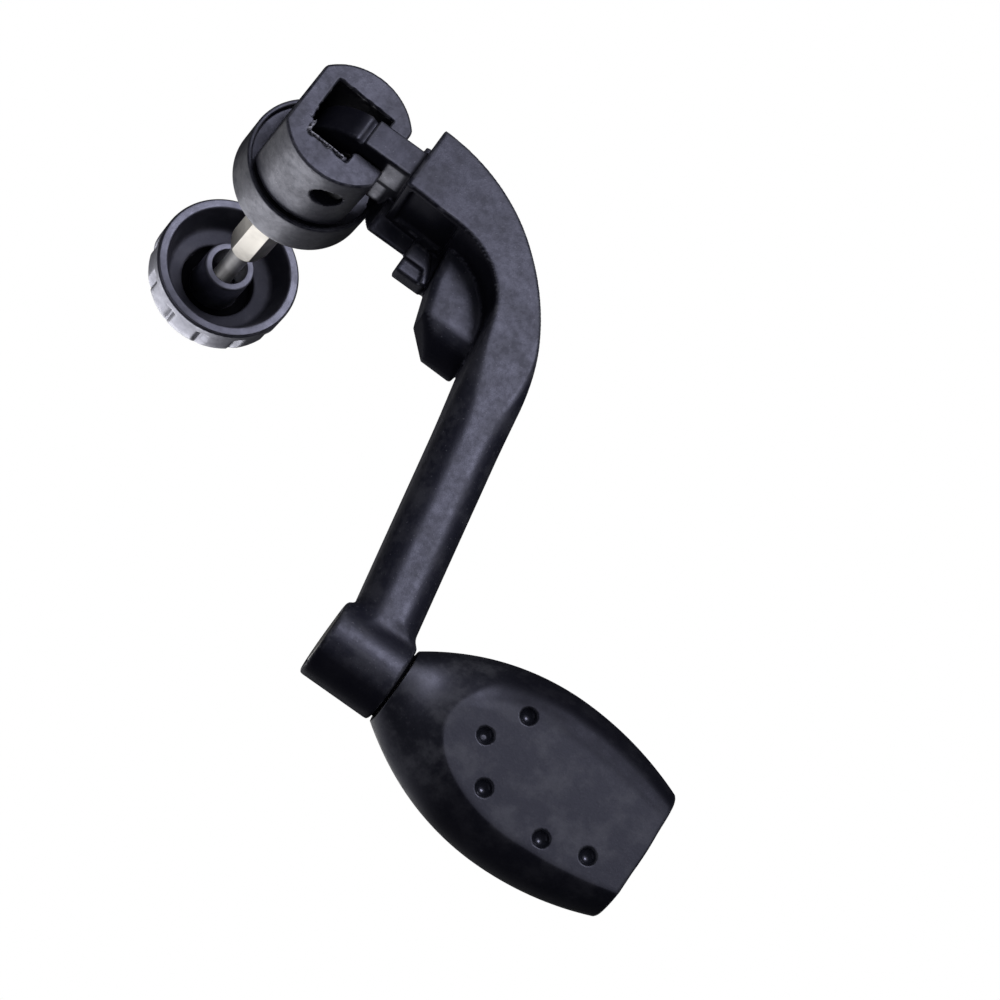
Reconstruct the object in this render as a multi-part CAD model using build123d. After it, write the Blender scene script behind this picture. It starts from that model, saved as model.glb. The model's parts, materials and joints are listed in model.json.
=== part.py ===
from build123d import *
import os

# Folding crank handle: a hub with a six-sided drive shaft, a screw cap on the far end of the
# shaft, a cranked arm that folds about a pin in the hub, and a paddle knob that spins.
#
# Every piece is drawn on a bench frame: Z is the crank axis with the hub uppermost, Y is the
# fold pin and X points out of the mouth that the arm folds towards. Zero height is the seat of
# the hub's collar. The last step lays the handle down: the drive shaft then points along +Y,
# the fold pin stands upright along Z and the arm hangs towards -Z.
# The arm is drawn on its own frame, with the fold pin at its origin: X is the way the knob
# points, Y the fold pin, and Z the normal of the arm's flat top face.

# ---------------------------------------------------------------- driving dimensions (mm)

# hub
collar_h = 7.4               # seat face to rim
collar_recess = 1.1          # depth of the recess that the hub body drops into
collar_rim = 0.7             # wall left around the recess
recess_gap = 0.25            # radial, between the recess and the hub body
spigot_d = 14.4              # round stub of the hub body inside the collar
body_d = 18.1                # hub body across its round sides
body_flats = 14.8            # hub body across its two flats
body_top = 21.2              # seat face to the top of the hub
body_edge = 0.35             # broken edge of the hub's top
foot_d = 16.4                # narrow foot between the collar and the round sides
foot_h = 1.3
pivot_x = 3.4                # fold pin from the crank axis
pivot_z = 15.9               # fold pin above the seat face
socket_w = 9.3               # square socket, along the pin
socket_wall_x = 3.7          # mouth side of the wide part of the socket
channel_w = 5.2              # slot for the tongue

# drive shaft
shaft_flats = 5.3            # across the flats
shaft_reach = 24.0           # collar seat to the end of the shaft
shaft_nose_r = 3.1           # radius of the ball end
shaft_tip_d = 3.8            # flat round the screw hole
shaft_head = 7.2             # square head, across
shaft_head_t = 1.7           # square head, thick

# fold pin
pin_d = 3.0
pin_head_d = 4.0
pin_head_t = 1.0
pin_sunk = 1.6               # head below the hub's round side
pin_cover = 1.0              # hub wall left beyond the pin's blind end
shim_d = 6.4
shim_t = 0.25

# arm
tongue_w = 4.6
tongue_top = 7.7             # pin to the tongue's upper face
tongue_under = 3.3           # pin to the tongue's lower face
shoulder_x = 8.0             # pin to the shoulder of the arm
nose_r = 7.0                 # the arm's lower nose clears the hub by this radius
head_w = 10.4                # width of the flat top at the shoulder
head_top = 10.6              # pin to the flat top face
head_floor = -0.2            # pin to the underside of the upper block
skirt_end_x = 14.0           # far end of the round skirt
panel_depth = 0.7            # sunk panel in the side of the head
panel_border = 1.0
panel_corner = 1.5
bend_outer_r = 27.0          # outer edge, first stretch
bend_outer_turn = 41.0
bend_outer_r2 = 36.0         # outer edge, second stretch
inner_lead = 9.0             # straight start of the inner edge
inner_lead_turn = 3.0
bend_inner_r = 11.3
rod_lean = 9.0               # rod away from square to the knob axis, degrees
rod_w = 9.0
rod_h = 9.6                  # depth where the rod leaves the bend
rod_end_w = 8.5
rod_end_h = 8.3
rod_round = 2.6              # rounding of the rod's corners
web_floor = -1.4             # underside of the web inside the bend
web_top = 4.6
web_lead = 3.6               # skirt to the web
web_round = 2.4              # rounding of its corners, seen from above
web_edge = 1.6               # rounding of its top edge
web_end_x = 26.5             # the free end of the web along the knob axis
web_end_y = -20.2            # and towards the knob
apron_side = -13.5           # thin apron beside the web, carried on from the skirt
apron_top = 1.6
boss_d = 10.9
boss_len = 10.6
boss_x = 38.4                # middle of the boss along the knob axis
boss_reach = 62.9            # crank axis to knob axis
boss_z = 4.2                 # knob axis above the fold pin
boss_edge = 0.5
rest_fold = 5.2              # the arm stands open by this much at rest, degrees

# knob and its axle
knob_gap = 0.4               # boss to knob, filled by the thrust washer
knob_len = 38.0
knob_widest = 25.2
knob_widest_at = 21.5        # from the neck
knob_end_w = 19.0
knob_t = 10.8                # thick
knob_bevel_w = 3.2           # sloping border round the flat faces, across
knob_bevel_h = 2.6           # the same, deep
knob_bevel_round = 1.2
knob_turn = 11.0             # the paddle's face leans by this much at rest, degrees
knob_corner = 0.6            # the blunt end bows out by this much
dimple_d = 2.1
dimple_depth = 0.9
dimples = [(12.9, 0.4), (16.1, 5.6), (16.4, -5.2), (25.9, -6.3), (32.0, -4.7)]    # neck to middle, side
axle_d = 4.0
axle_head_d = 7.6
axle_head_t = 1.0
bush_d = 6.4
bush_flange_d = 8.4
bush_flange_t = 1.0
bush_len = 8.0
plug_d = 10.0
plug_t = 1.6
plug_sunk = 0.15
keeper_d = 6.0               # washer under the axle screw
keeper_t = 0.6
keeper_screw_d = 2.5
keeper_screw_len = 6.0
keeper_screw_head_d = 4.6
keeper_screw_head_t = 1.8

# screw cap
cap_gap = 8.0                # end of the shaft to the cap's rim at rest
cap_d = 22.3
cap_h = 9.6
cap_dome_r = 5.2             # rounding of the closed end
cap_rim_w = 1.55             # wall at the rim
cap_rim_edge = 0.25
cap_ring_h = 1.7             # plain ring at the rim
cap_lobes = 12
cap_groove_d = 1.5           # grooves between the lobes
cap_shelf_d = 16.4           # hollow across, where the coned shelf starts
cap_shelf_depth = 4.4        # rim to the start of the shelf
cap_well_d = 11.4            # the shelf ends at the lip of the well
cap_lip_depth = 6.0
cap_floor = 1.6              # wall under the well
cap_tube_d = 7.8
cap_tube_bore = 5.5
cap_tube_proud = 0.3         # tube beyond the rim
cap_tube_edge = 0.35
cap_disc_d = 9.5
cap_disc_t = 0.6
ring_t = 0.5                 # thrust ring in the cap's well
screw_d = 3.2
screw_grip = 7.0             # screw inside the shaft at rest
screw_head_d = 6.0
screw_head_t = 1.2
screw_seat_t = 1.0           # cap wall that the screw's head pulls on
screw_travel = 7.4           # the cap can be run in this far from rest

# clearances
run = 0.04                   # radial, on a turning pin
slip = 0.10                  # radial, between pieces that drop into each other
swing = 0.30                 # between the arm and the hub as it folds

# ---------------------------------------------------------------- frames

LAY = Rot(90, 0, 0)                                       # bench frame to the laid-down handle
ARM = Pos(pivot_x, 0, pivot_z) * Rot(0, -rest_fold, 0)    # arm frame to the bench frame
KNOB = ARM * Pos(boss_x + boss_len / 2, -boss_reach, boss_z) * Rot(knob_turn, 0, 0)
CAP = Pos(0, 0, -shaft_reach - cap_gap)                   # cap frame: its rim is at zero height

UP = (Align.CENTER, Align.CENTER, Align.MIN)
DOWN = (Align.CENTER, Align.CENTER, Align.MAX)
knuckle_r = tongue_top
socket_floor = pivot_z - knuckle_r - swing
collar_floor = collar_h - collar_recess
recess_d = body_d + 2 * recess_gap
collar_d = recess_d + 2 * collar_rim
pin_side = ((body_d / 2) ** 2 - pivot_x ** 2) ** 0.5      # round side of the hub at the pin
pin_foot = pin_side - pin_cover


def rod_x(d, length, align=UP):
    """A round bar along +X, starting at the origin."""
    return Rot(0, 90, 0) * Cylinder(d / 2, length, align=align)


def block(x0, x1, y0, y1, z0, z1):
    """A box between two corners."""
    middle = Pos((x0 + x1) / 2, (y0 + y1) / 2, (z0 + z1) / 2)
    return middle * Box(x1 - x0, y1 - y0, z1 - z0)


# ---------------------------------------------------------------- hub

def hub_collar():
    ring = Cylinder(collar_d / 2, collar_h, align=UP)
    ring -= Cylinder(spigot_d / 2 + slip, collar_h, align=UP)
    ring -= Pos(0, 0, collar_floor) * Cylinder(recess_d / 2, collar_recess, align=UP)
    seat_edge = ring.edges().filter_by(GeomType.CIRCLE).sort_by(Axis.Z)[:2].sort_by(SortBy.RADIUS)[-1]
    return chamfer(seat_edge, 0.4)


def hub_body():
    upper = Pos(0, 0, collar_floor) * Cylinder(body_d / 2, body_top - collar_floor, align=UP)
    half = body_flats / 2
    upper &= block(-half, half, -body_d, body_d, collar_floor, body_top)
    upper = chamfer(upper.faces().sort_by(Axis.Z)[-1].edges(), body_edge)
    foot_ring = Cylinder(body_d, foot_h, align=UP) - Cylinder(foot_d / 2, foot_h, align=UP)
    upper -= Pos(0, 0, collar_floor) * foot_ring
    body = upper + Cylinder(spigot_d / 2, collar_floor, align=UP)
    # socket, open at the top, and the slot that lets the tongue out of the mouth
    socket_back = pivot_x - tongue_top - swing
    body -= block(socket_back, socket_wall_x, -socket_w / 2, socket_w / 2, socket_floor, body_top + 1)
    channel_floor = pivot_z - tongue_under - swing
    body -= block(0, body_d, -channel_w / 2, channel_w / 2, channel_floor, body_top + 1)
    # seat for the square head and the six-sided hole of the drive shaft
    head_room = shaft_head / 2 + slip
    head_floor_z = socket_floor - shaft_head_t - slip
    body -= block(-head_room, head_room, -head_room, head_room, head_floor_z, socket_floor)
    body -= extrude(RegularPolygon(shaft_flats / 2 + slip, 6, major_radius=False), head_floor_z)
    # fold pin: counterbore for its head, a through bore and a blind end
    head_seat = pin_head_y() + pin_head_t
    pin_axis = Pos(pivot_x, 0, pivot_z) * Rot(90, 0, 0)
    bore = Pos(0, 0, -pin_foot - slip) * Cylinder(pin_d / 2 + run, pin_foot + slip - head_seat, align=UP)
    body -= pin_axis * bore
    body -= pin_axis * Pos(0, 0, -head_seat) * Cylinder(pin_head_d / 2 + run, body_d, align=UP)
    return body


def pin_head_y():
    """Outer face of the pin's head, sunk below the round side of the hub."""
    return -pin_side + pin_sunk


def pivot_pin():
    pin_axis = Pos(pivot_x, 0, pivot_z) * Rot(90, 0, 0)
    head = Pos(0, 0, -pin_head_y()) * Cylinder(pin_head_d / 2, pin_head_t, align=DOWN)
    head = chamfer(head.edges().filter_by(GeomType.CIRCLE).sort_by(Axis.Z)[-1], 0.3)
    shank_len = pin_foot - pin_head_y() - pin_head_t
    shank = Pos(0, 0, -pin_foot) * Cylinder(pin_d / 2, shank_len, align=UP)
    return pin_axis * (head + shank)


def pivot_shims():
    """A thin friction washer each side of the tongue."""
    side_gap = (channel_w - tongue_w) / 2
    middle = tongue_w / 2 + side_gap / 2
    washer = Cylinder(shim_d / 2, shim_t) - Cylinder(pin_d / 2 + run, shim_t)
    pin_axis = Pos(pivot_x, 0, pivot_z) * Rot(90, 0, 0)
    return Compound([pin_axis * Pos(0, 0, side * middle) * washer for side in (-1, 1)])


def drive_shaft():
    hexagon = RegularPolygon(shaft_flats / 2, 6, major_radius=False)
    top = socket_floor - shaft_head_t
    bar = Pos(0, 0, -shaft_reach) * extrude(hexagon, top + shaft_reach)
    # the end is turned to a ball, which cuts each flat in an arc
    nose_len = (shaft_nose_r ** 2 - (shaft_tip_d / 2) ** 2) ** 0.5
    long_part = Cylinder(shaft_flats, shaft_reach + top - nose_len, align=UP)
    bar &= Pos(0, 0, nose_len - shaft_reach) * (Sphere(shaft_nose_r) + long_part)
    head = Pos(0, 0, top) * Box(shaft_head, shaft_head, shaft_head_t, align=UP)
    head = chamfer(head.edges().filter_by(Axis.Z), 0.6)
    hole_depth = screw_grip + screw_travel + 1.5
    hole = Pos(0, 0, -shaft_reach) * Cylinder(screw_d / 2 + run, hole_depth, align=UP)
    return bar + head - hole


# ---------------------------------------------------------------- arm

def bend_plan():
    """Plan of the bend, from the shoulder to where the straight rod begins."""
    half = head_w / 2
    outer_1 = JernArc((shoulder_x, half), (1, 0), bend_outer_r, -bend_outer_turn)
    rest_turn = 90 - rod_lean - bend_outer_turn
    outer_2 = JernArc(outer_1 @ 1, outer_1 % 1, bend_outer_r2, -rest_turn)
    lead = PolarLine((shoulder_x, -half), inner_lead, -inner_lead_turn)
    inner_turn = 90 - rod_lean - inner_lead_turn
    inner = JernArc(lead @ 1, lead % 1, bend_inner_r, -inner_turn)
    # both edges run on, parallel to the rod, to the same station along it
    along = outer_2 % 1
    across = (outer_2 @ 1 - inner @ 1).dot(along)
    inner_tail = Line(inner @ 1, inner @ 1 + along * across)
    close = Line(inner_tail @ 1, outer_2 @ 1)
    shoulder = Line((shoulder_x, -half), (shoulder_x, half))
    edges = [outer_1, outer_2, close, inner_tail, inner, lead, shoulder]
    plan = make_face(Wire(edges))
    station = (close @ 0 + close @ 1) / 2
    return plan, station


def crank_arm():
    plan, station = bend_plan()
    upper = extrude(Pos(0, 0, head_floor) * plan, head_top - head_floor)
    # the rod: a rounded bar that thins a little towards the boss
    start = Vector(station.X, station.Y, (head_floor + head_top) / 2)
    end = Vector(boss_x, -boss_reach, boss_z)
    way = (end - start).normalized()
    x_dir = Vector(0, 0, 1).cross(way).normalized()
    root = Plane(origin=start - way * 3, x_dir=x_dir, z_dir=way)
    tip = Plane(origin=end, x_dir=x_dir, z_dir=way)
    rod = loft([root * RectangleRounded(rod_w, rod_h, rod_round),
                tip * RectangleRounded(rod_end_w, rod_end_h, rod_round)])
    boss = Pos(boss_x - boss_len / 2, -boss_reach, boss_z) * rod_x(boss_d, boss_len)
    boss = chamfer(boss.edges().filter_by(GeomType.CIRCLE), boss_edge)
    # round skirt: the lower part of the hub's own outline, carried along the head
    outline = Pos(0, 0, pivot_x) * rod_x(body_d, skirt_end_x)
    skirt = outline & block(0, skirt_end_x, -body_d, body_d, -body_d, head_floor)
    skirt -= Rot(90, 0, 0) * Cylinder(nose_r, body_d * 2)
    # web that fills the inside of the bend
    web_start_x = skirt_end_x + web_lead
    corners = [(web_start_x, -head_w / 2), (web_start_x + 1.8, web_end_y + 4.4), (web_end_x - 3, web_end_y),
               (web_end_x + 1.5, web_end_y), (web_end_x + 3, -head_w / 2 - 6), (web_end_x - 2, -head_w / 2)]
    web = extrude(Pos(0, 0, web_floor) * make_face(Polyline(*corners, close=True)), web_top - web_floor)
    web = fillet(web.edges().filter_by(Axis.Z), web_round)
    web = fillet(web.faces().sort_by(Axis.Z)[-1].edges(), web_edge)
    apron = block(skirt_end_x - 1, web_start_x + 1.5, apron_side, 0, web_floor, apron_top)
    web += fillet(apron.edges().filter_by(Axis.Z), 1.0)
    # tongue with its knuckle: a quarter round behind the pin and a small eye below it
    tongue = block(0, shoulder_x + 3, -tongue_w / 2, tongue_w / 2, -tongue_under, tongue_top)
    eye = Rot(90, 0, 0) * Cylinder(tongue_under, tongue_w)
    quarter = Rot(90, 0, 0) * Cylinder(knuckle_r, tongue_w)
    quarter &= block(-knuckle_r, 0, -tongue_w, tongue_w, 0, knuckle_r)
    arm = upper + rod + boss + skirt + web + tongue + eye + quarter
    # sunk panel in the side of the head that faces the inside of the bend
    panel = block(shoulder_x + panel_border, shoulder_x + inner_lead - panel_border,
                  -head_w / 2 - panel_depth, -head_w / 2 + panel_depth,
                  head_floor + panel_border, head_top - panel_border)
    arm -= fillet(panel.edges().filter_by(Axis.Y), panel_corner)
    arm -= Rot(90, 0, 0) * Cylinder(pin_d / 2 + run, tongue_w)
    # bore for the knob's axle and the sunk seat of its head
    boss_face = Pos(boss_x - boss_len / 2, -boss_reach, boss_z)
    arm -= boss_face * rod_x(axle_d + 2 * run, boss_len)
    arm -= boss_face * rod_x(axle_head_d + 2 * slip, axle_head_t + slip)
    return arm


# ---------------------------------------------------------------- knob and axle

screw_head_room = keeper_screw_head_t + 0.6
axle_end = knob_len - plug_sunk - plug_t - screw_head_room - keeper_t


def paddle_plan():
    """Outline of the paddle: narrow neck, widest past the middle, blunt end."""
    neck = knob_t / 2 - 0.1
    widest = (knob_widest_at, knob_widest / 2)
    swell = TangentArc(widest, (knob_gap, neck), tangent=(-1, 0))
    taper = TangentArc(widest, (knob_len - knob_corner, knob_end_w / 2), tangent=(1, 0))
    end = ThreePointArc(taper @ 1, (knob_len, 0), (knob_len - knob_corner, -knob_end_w / 2))
    edges = [swell, taper, end, swell.mirror(Plane.XZ), taper.mirror(Plane.XZ)]
    edges.append(Line((knob_gap, neck), (knob_gap, -neck)))
    return make_face(Wire(edges))


def knob_body():
    slab = extrude(paddle_plan(), knob_t / 2, both=True)
    # a broad bevel slopes from each flat face to the two long sides
    for last in (-1, 0):
        face = slab.faces().sort_by(Axis.Z)[last]
        rim = [edge for edge in face.edges() if knob_gap + 0.5 < edge.center().X < knob_len - 1.0]
        slab = chamfer(rim, knob_bevel_w, knob_bevel_h, reference=face)
    for last in (-1, 0):
        face = slab.faces().sort_by(Axis.Z)[last]
        rim = [edge for edge in face.edges() if knob_gap + 0.5 < edge.center().X < knob_len - 1.0]
        slab = fillet(rim, knob_bevel_round)
    slab -= rod_x(bush_d + 2 * slip, knob_len)
    # five shallow round marks in each flat face
    for x, y in dimples:
        for side in (-1, 1):
            mark = Pos(x, side * y, side * knob_t / 2) * Cylinder(dimple_d / 2, 2 * dimple_depth)
            slab -= mark
    for x in (knob_gap, axle_end - bush_flange_t):
        slab -= Pos(x, 0, 0) * rod_x(bush_flange_d + 2 * slip, bush_flange_t)
    slab -= Pos(axle_end, 0, 0) * rod_x(bush_flange_d + 2 * slip, knob_len)
    slab -= Pos(knob_len - plug_sunk - plug_t, 0, 0) * rod_x(plug_d + 2 * slip, knob_len)
    return slab


def bush(x, flange_first):
    body = Pos(x, 0, 0) * rod_x(bush_d, bush_len)
    flange_x = x if flange_first else x + bush_len - bush_flange_t
    body += Pos(flange_x, 0, 0) * rod_x(bush_flange_d, bush_flange_t)
    return body - Pos(x, 0, 0) * rod_x(axle_d + 2 * run, bush_len)


def knob_axle():
    head = Pos(-boss_len, 0, 0) * rod_x(axle_head_d, axle_head_t)
    head = chamfer(head.edges().filter_by(GeomType.CIRCLE).sort_by(Axis.X)[0], 0.3)
    shank = Pos(-boss_len + axle_head_t, 0, 0) * rod_x(axle_d, boss_len - axle_head_t + axle_end)
    thread = Pos(axle_end - keeper_screw_len - 1, 0, 0) * rod_x(keeper_screw_d, keeper_screw_len + 1)
    return head + shank - thread


def knob_thrust_washer():
    return rod_x(boss_d - 1.6, knob_gap - slip) - rod_x(axle_d + 2 * run, knob_gap - slip)


def keeper_washer():
    washer = rod_x(keeper_d, keeper_t) - rod_x(keeper_screw_d + 2 * run, keeper_t)
    return Pos(axle_end, 0, 0) * washer


def keeper_screw():
    seat = axle_end + keeper_t
    shank = Pos(seat - keeper_screw_len, 0, 0) * rod_x(keeper_screw_d - 2 * run, keeper_screw_len)
    head = Pos(seat, 0, 0) * rod_x(keeper_screw_head_d, keeper_screw_head_t)
    head = fillet(head.edges().filter_by(GeomType.CIRCLE).sort_by(Axis.X)[-1], 0.8)
    slot_x = seat + keeper_screw_head_t * 0.5
    for turn in (0, 90):
        bar = block(slot_x, slot_x + 2, -1.3, 1.3, -0.3, 0.3)
        head -= Rot(turn, 0, 0) * bar
    return shank + head


def knob_end_plug():
    plug = Pos(knob_len - plug_sunk - plug_t, 0, 0) * rod_x(plug_d, plug_t)
    return fillet(plug.edges().filter_by(GeomType.CIRCLE).sort_by(Axis.X)[-1], 0.4)


# ---------------------------------------------------------------- screw cap

cap_inner_floor = -cap_h + cap_floor


def cap_shell():
    outside = Cylinder(cap_d / 2, cap_h, align=DOWN)
    outside = fillet(outside.edges().filter_by(GeomType.CIRCLE).sort_by(Axis.Z)[0], cap_dome_r)
    outside = chamfer(outside.edges().filter_by(GeomType.CIRCLE).sort_by(Axis.Z)[-1], cap_rim_edge)
    # hollow: leaning wall, coned shelf, then the well round the middle tube
    mouth_r = cap_d / 2 - cap_rim_w
    hollow = [(0, 1), (mouth_r, 1), (mouth_r, 0), (cap_shelf_d / 2, -cap_shelf_depth),
              (cap_well_d / 2, -cap_lip_depth), (cap_well_d / 2, cap_inner_floor), (0, cap_inner_floor)]
    shell = outside - revolve(make_face(Plane.XZ * Polyline(*hollow, close=True)), Axis.Z)
    tube = Cylinder(cap_tube_d / 2, cap_tube_proud - cap_inner_floor, align=UP)
    tube = chamfer(tube.edges().filter_by(GeomType.CIRCLE).sort_by(Axis.Z)[-1], cap_tube_edge)
    shell += Pos(0, 0, cap_inner_floor) * tube
    # finger grip: grooves between the lobes, below the plain ring
    groove = Pos(cap_d / 2 + cap_groove_d * 0.12, 0, -cap_ring_h) * Rot(0, 0, 45) * Box(
        cap_groove_d, cap_groove_d, cap_h, align=DOWN)
    for i in range(cap_lobes):
        shell -= Rot(0, 0, (i + 0.5) * 360 / cap_lobes) * groove
    # way for the screw and, from outside, the seat of its head and of the disc over it
    bore_floor = -cap_h + cap_head_room() + screw_seat_t
    shell -= Pos(0, 0, bore_floor) * Cylinder(cap_tube_bore / 2, cap_h, align=UP)
    shell -= Cylinder(screw_d / 2 + slip, cap_h, align=DOWN)
    shell -= Pos(0, 0, -cap_h) * Cylinder(screw_head_d / 2 + slip, cap_head_room(), align=UP)
    shell -= Pos(0, 0, -cap_h) * Cylinder(cap_disc_d / 2 + slip, cap_disc_t, align=UP)
    return shell


def cap_head_room():
    """Depth of the head's seat from the cap's outer face."""
    return cap_disc_t + screw_head_t


def cap_screw():
    seat = -cap_h + cap_head_room()
    head = Pos(0, 0, seat) * Cylinder(screw_head_d / 2, screw_head_t, align=DOWN)
    head = chamfer(head.edges().filter_by(GeomType.CIRCLE), 0.25)
    length = cap_gap + screw_grip - seat
    shank = Pos(0, 0, seat) * Cylinder(screw_d / 2, length, align=UP)
    shank = chamfer(shank.edges().filter_by(GeomType.CIRCLE).sort_by(Axis.Z)[-1], 0.4)
    return head + shank


def cap_end_disc():
    disc = Pos(0, 0, -cap_h) * Cylinder(cap_disc_d / 2, cap_disc_t, align=UP)
    return chamfer(disc.edges().filter_by(GeomType.CIRCLE).sort_by(Axis.Z)[0], 0.2)


def cap_thrust_ring():
    ring = Cylinder(cap_well_d / 2 - slip, ring_t, align=UP)
    ring -= Cylinder(cap_tube_d / 2 + slip, ring_t, align=UP)
    return Pos(0, 0, cap_inner_floor) * ring


# ---------------------------------------------------------------- write the pieces

pieces = {
    "hub_body": hub_body(),
    "hub_collar": hub_collar(),
    "drive_shaft": drive_shaft(),
    "pivot_pin": pivot_pin(),
    "pivot_shims": pivot_shims(),
    "crank_arm": ARM * crank_arm(),
    "knob_axle": KNOB * knob_axle(),
    "knob_thrust_washer": KNOB * knob_thrust_washer(),
    "knob_body": KNOB * knob_body(),
    "knob_inner_bush": KNOB * bush(knob_gap, True),
    "knob_outer_bush": KNOB * bush(axle_end - bush_len, False),
    "knob_keeper_washer": KNOB * keeper_washer(),
    "knob_keeper_screw": KNOB * keeper_screw(),
    "knob_end_plug": KNOB * knob_end_plug(),
    "cap_shell": CAP * cap_shell(),
    "cap_screw": CAP * cap_screw(),
    "cap_thrust_ring": CAP * cap_thrust_ring(),
    "cap_end_disc": CAP * cap_end_disc(),
}

os.makedirs("parts", exist_ok=True)
for name, piece in pieces.items():
    export_step(LAY * piece, f"parts/{name}.step")
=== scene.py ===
# %% [markdown]
# # A folding crank handle
# A black moulded crank handle, 96 mm long: a hub on a six-sided steel shaft, a cranked arm that folds
# about a pin in the hub, a paddle knob that spins, and a lobed cap with a screw that runs in the shaft.
# The rigid frame holds every piece at its real size. This notebook gives the pieces the soft edges
# and the finishes of the real ones: nylon from a mould, a matt knob and a polished shaft.

# %% Load the frame
import json
import math
import bmesh
import bpy
import numpy as np
from mathutils import Matrix, Vector


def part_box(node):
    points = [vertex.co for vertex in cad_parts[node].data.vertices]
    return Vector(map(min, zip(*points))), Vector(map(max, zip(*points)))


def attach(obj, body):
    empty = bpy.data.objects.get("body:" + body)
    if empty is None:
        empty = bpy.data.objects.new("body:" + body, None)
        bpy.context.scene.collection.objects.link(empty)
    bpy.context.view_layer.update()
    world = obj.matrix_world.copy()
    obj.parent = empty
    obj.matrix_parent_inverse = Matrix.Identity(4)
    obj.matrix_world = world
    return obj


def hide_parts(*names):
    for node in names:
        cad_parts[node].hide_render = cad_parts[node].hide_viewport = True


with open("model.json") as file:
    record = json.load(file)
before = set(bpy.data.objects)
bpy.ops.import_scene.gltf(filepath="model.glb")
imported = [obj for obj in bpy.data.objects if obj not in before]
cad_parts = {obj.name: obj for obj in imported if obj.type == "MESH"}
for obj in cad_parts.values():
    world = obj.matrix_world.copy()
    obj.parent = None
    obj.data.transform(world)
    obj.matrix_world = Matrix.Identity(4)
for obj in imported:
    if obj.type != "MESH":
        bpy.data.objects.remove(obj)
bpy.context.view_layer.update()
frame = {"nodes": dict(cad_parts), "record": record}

joints = {joint["name"]: joint for joint in frame["record"]["behaviour"]["joints"]}
print("pieces in the frame:", len(frame["nodes"]))

# %% [markdown]
# ## From arrays to meshes
# Every new surface is worked out with numpy as whole arrays of points and faces. One helper turns such
# arrays into a mesh: foreach_set copies them in one go, which is far quicker than adding faces one by one.
# A second helper gives the faces of a grid, where each point is joined to the next in its row and column.

# %% Mesh from arrays
MM = 0.001


def mesh_piece(name, points, faces):
    """An object with these points (n x 3, metres) and four-sided faces (m x 4)."""
    mesh = bpy.data.meshes.new(name)
    mesh.vertices.add(len(points))
    mesh.vertices.foreach_set("co", np.asarray(points, np.float32).ravel())
    mesh.loops.add(faces.size)
    mesh.loops.foreach_set("vertex_index", faces.astype(np.int32).ravel())
    mesh.polygons.add(len(faces))
    mesh.polygons.foreach_set("loop_start", np.arange(0, faces.size, 4, dtype=np.int32))
    mesh.polygons.foreach_set("use_smooth", np.ones(len(faces), bool))
    mesh.update(calc_edges=True)
    mesh.validate()
    piece = bpy.data.objects.new(name, mesh)
    bpy.context.scene.collection.objects.link(piece)
    print(name, "has", 2 * len(faces), "triangles")
    return piece


def grid_faces(rows, columns, closed_rows=False, closed_columns=False):
    """Faces of a grid of points: each joins a point to the next in its row, its column and across."""
    row = np.arange(rows if closed_rows else rows - 1)
    column = np.arange(columns if closed_columns else columns - 1)
    r, c = np.meshgrid(row, column, indexing="ij")
    r2, c2 = (r + 1) % rows, (c + 1) % columns
    corners = (r * columns + c, r * columns + c2, r2 * columns + c2, r2 * columns + c)
    return np.stack(corners, -1).reshape(-1, 4)


print("a closed grid of 3 by 4 points has", len(grid_faces(3, 4, True, True)), "faces")

# %% [markdown]
# Two more jobs are done on a finished mesh. Points at the same place are welded, and a number for each
# point is stored under a name, which a material can read: where the piece is worn, glossy or dull.

# %% Weld and paint
def weld(piece):
    """Merges points at the same place, which closes the poles of a turned shape."""
    work = bmesh.new()
    work.from_mesh(piece.data)
    bmesh.ops.remove_doubles(work, verts=work.verts, dist=1e-7)
    work.to_mesh(piece.data)
    work.free()


def paint(piece, name, values):
    """Stores one number for each point of the mesh, which a material reads by this name."""
    layer = piece.data.attributes.new(name, "FLOAT", "POINT")
    layer.data.foreach_set("value", np.ascontiguousarray(values, np.float32).ravel())


print("helpers for meshes: mesh_piece, grid_faces, weld and paint")

# %% [markdown]
# ## Where the pieces stand
# Three of the pieces are easiest to draw in a frame of their own: the arm from its fold pin, the knob
# from its neck, and the cap from its rim. Small functions carry such points to the frame of the whole
# handle, in which the shaft points along +Y and the fold pin stands upright.

# %% Frames of the pieces
REST_FOLD = math.radians(5.2)        # the arm stands open by this much
KNOB_LEAN = math.radians(11.0)       # the knob has turned by this much on its axle
BOSS_FACE = np.array([43.7, -62.9, 4.2])    # centre of the boss's face, where the knob starts
CAP_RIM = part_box("cap_shell")[0].y / MM + 0.3    # the tube in the cap stands 0.3 mm proud of the rim
pivot_x = joints["arm_fold"]["pos_m"][0] / MM
pivot_z = -joints["arm_fold"]["pos_m"][1] / MM


def laid_down(points):
    """From the bench frame (mm, crank axis upright) to the handle as it lies (metres): a quarter turn
    about X."""
    return np.stack([points[..., 0], -points[..., 2], points[..., 1]], -1) * MM


def arm_to_frame(points):
    """Turn by the rest angle about the fold pin, then move to the pin."""
    c, s = math.cos(REST_FOLD), math.sin(REST_FOLD)
    x, y, z = points[..., 0], points[..., 1], points[..., 2]
    return laid_down(np.stack([c * x - s * z + pivot_x, y, s * x + c * z + pivot_z], -1))


def knob_to_frame(points):
    """Turn about the knob's axis by its lean, then move to the face of the boss."""
    c, s = math.cos(KNOB_LEAN), math.sin(KNOB_LEAN)
    x, y, z = points[..., 0], points[..., 1], points[..., 2]
    return arm_to_frame(np.stack([x, c * y - s * z, s * y + c * z], -1) + BOSS_FACE)


print("the boss's face lies at", (arm_to_frame(BOSS_FACE) / MM).round(2), "mm")

# %% [markdown]
# ## Shader maths as Python
# A material is a graph of nodes, and writing one link by link hides the idea. Here a small class wraps
# a socket, so that "0.3 + 0.1 * grain" adds the Math nodes by itself, and one method adds any other node.

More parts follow.
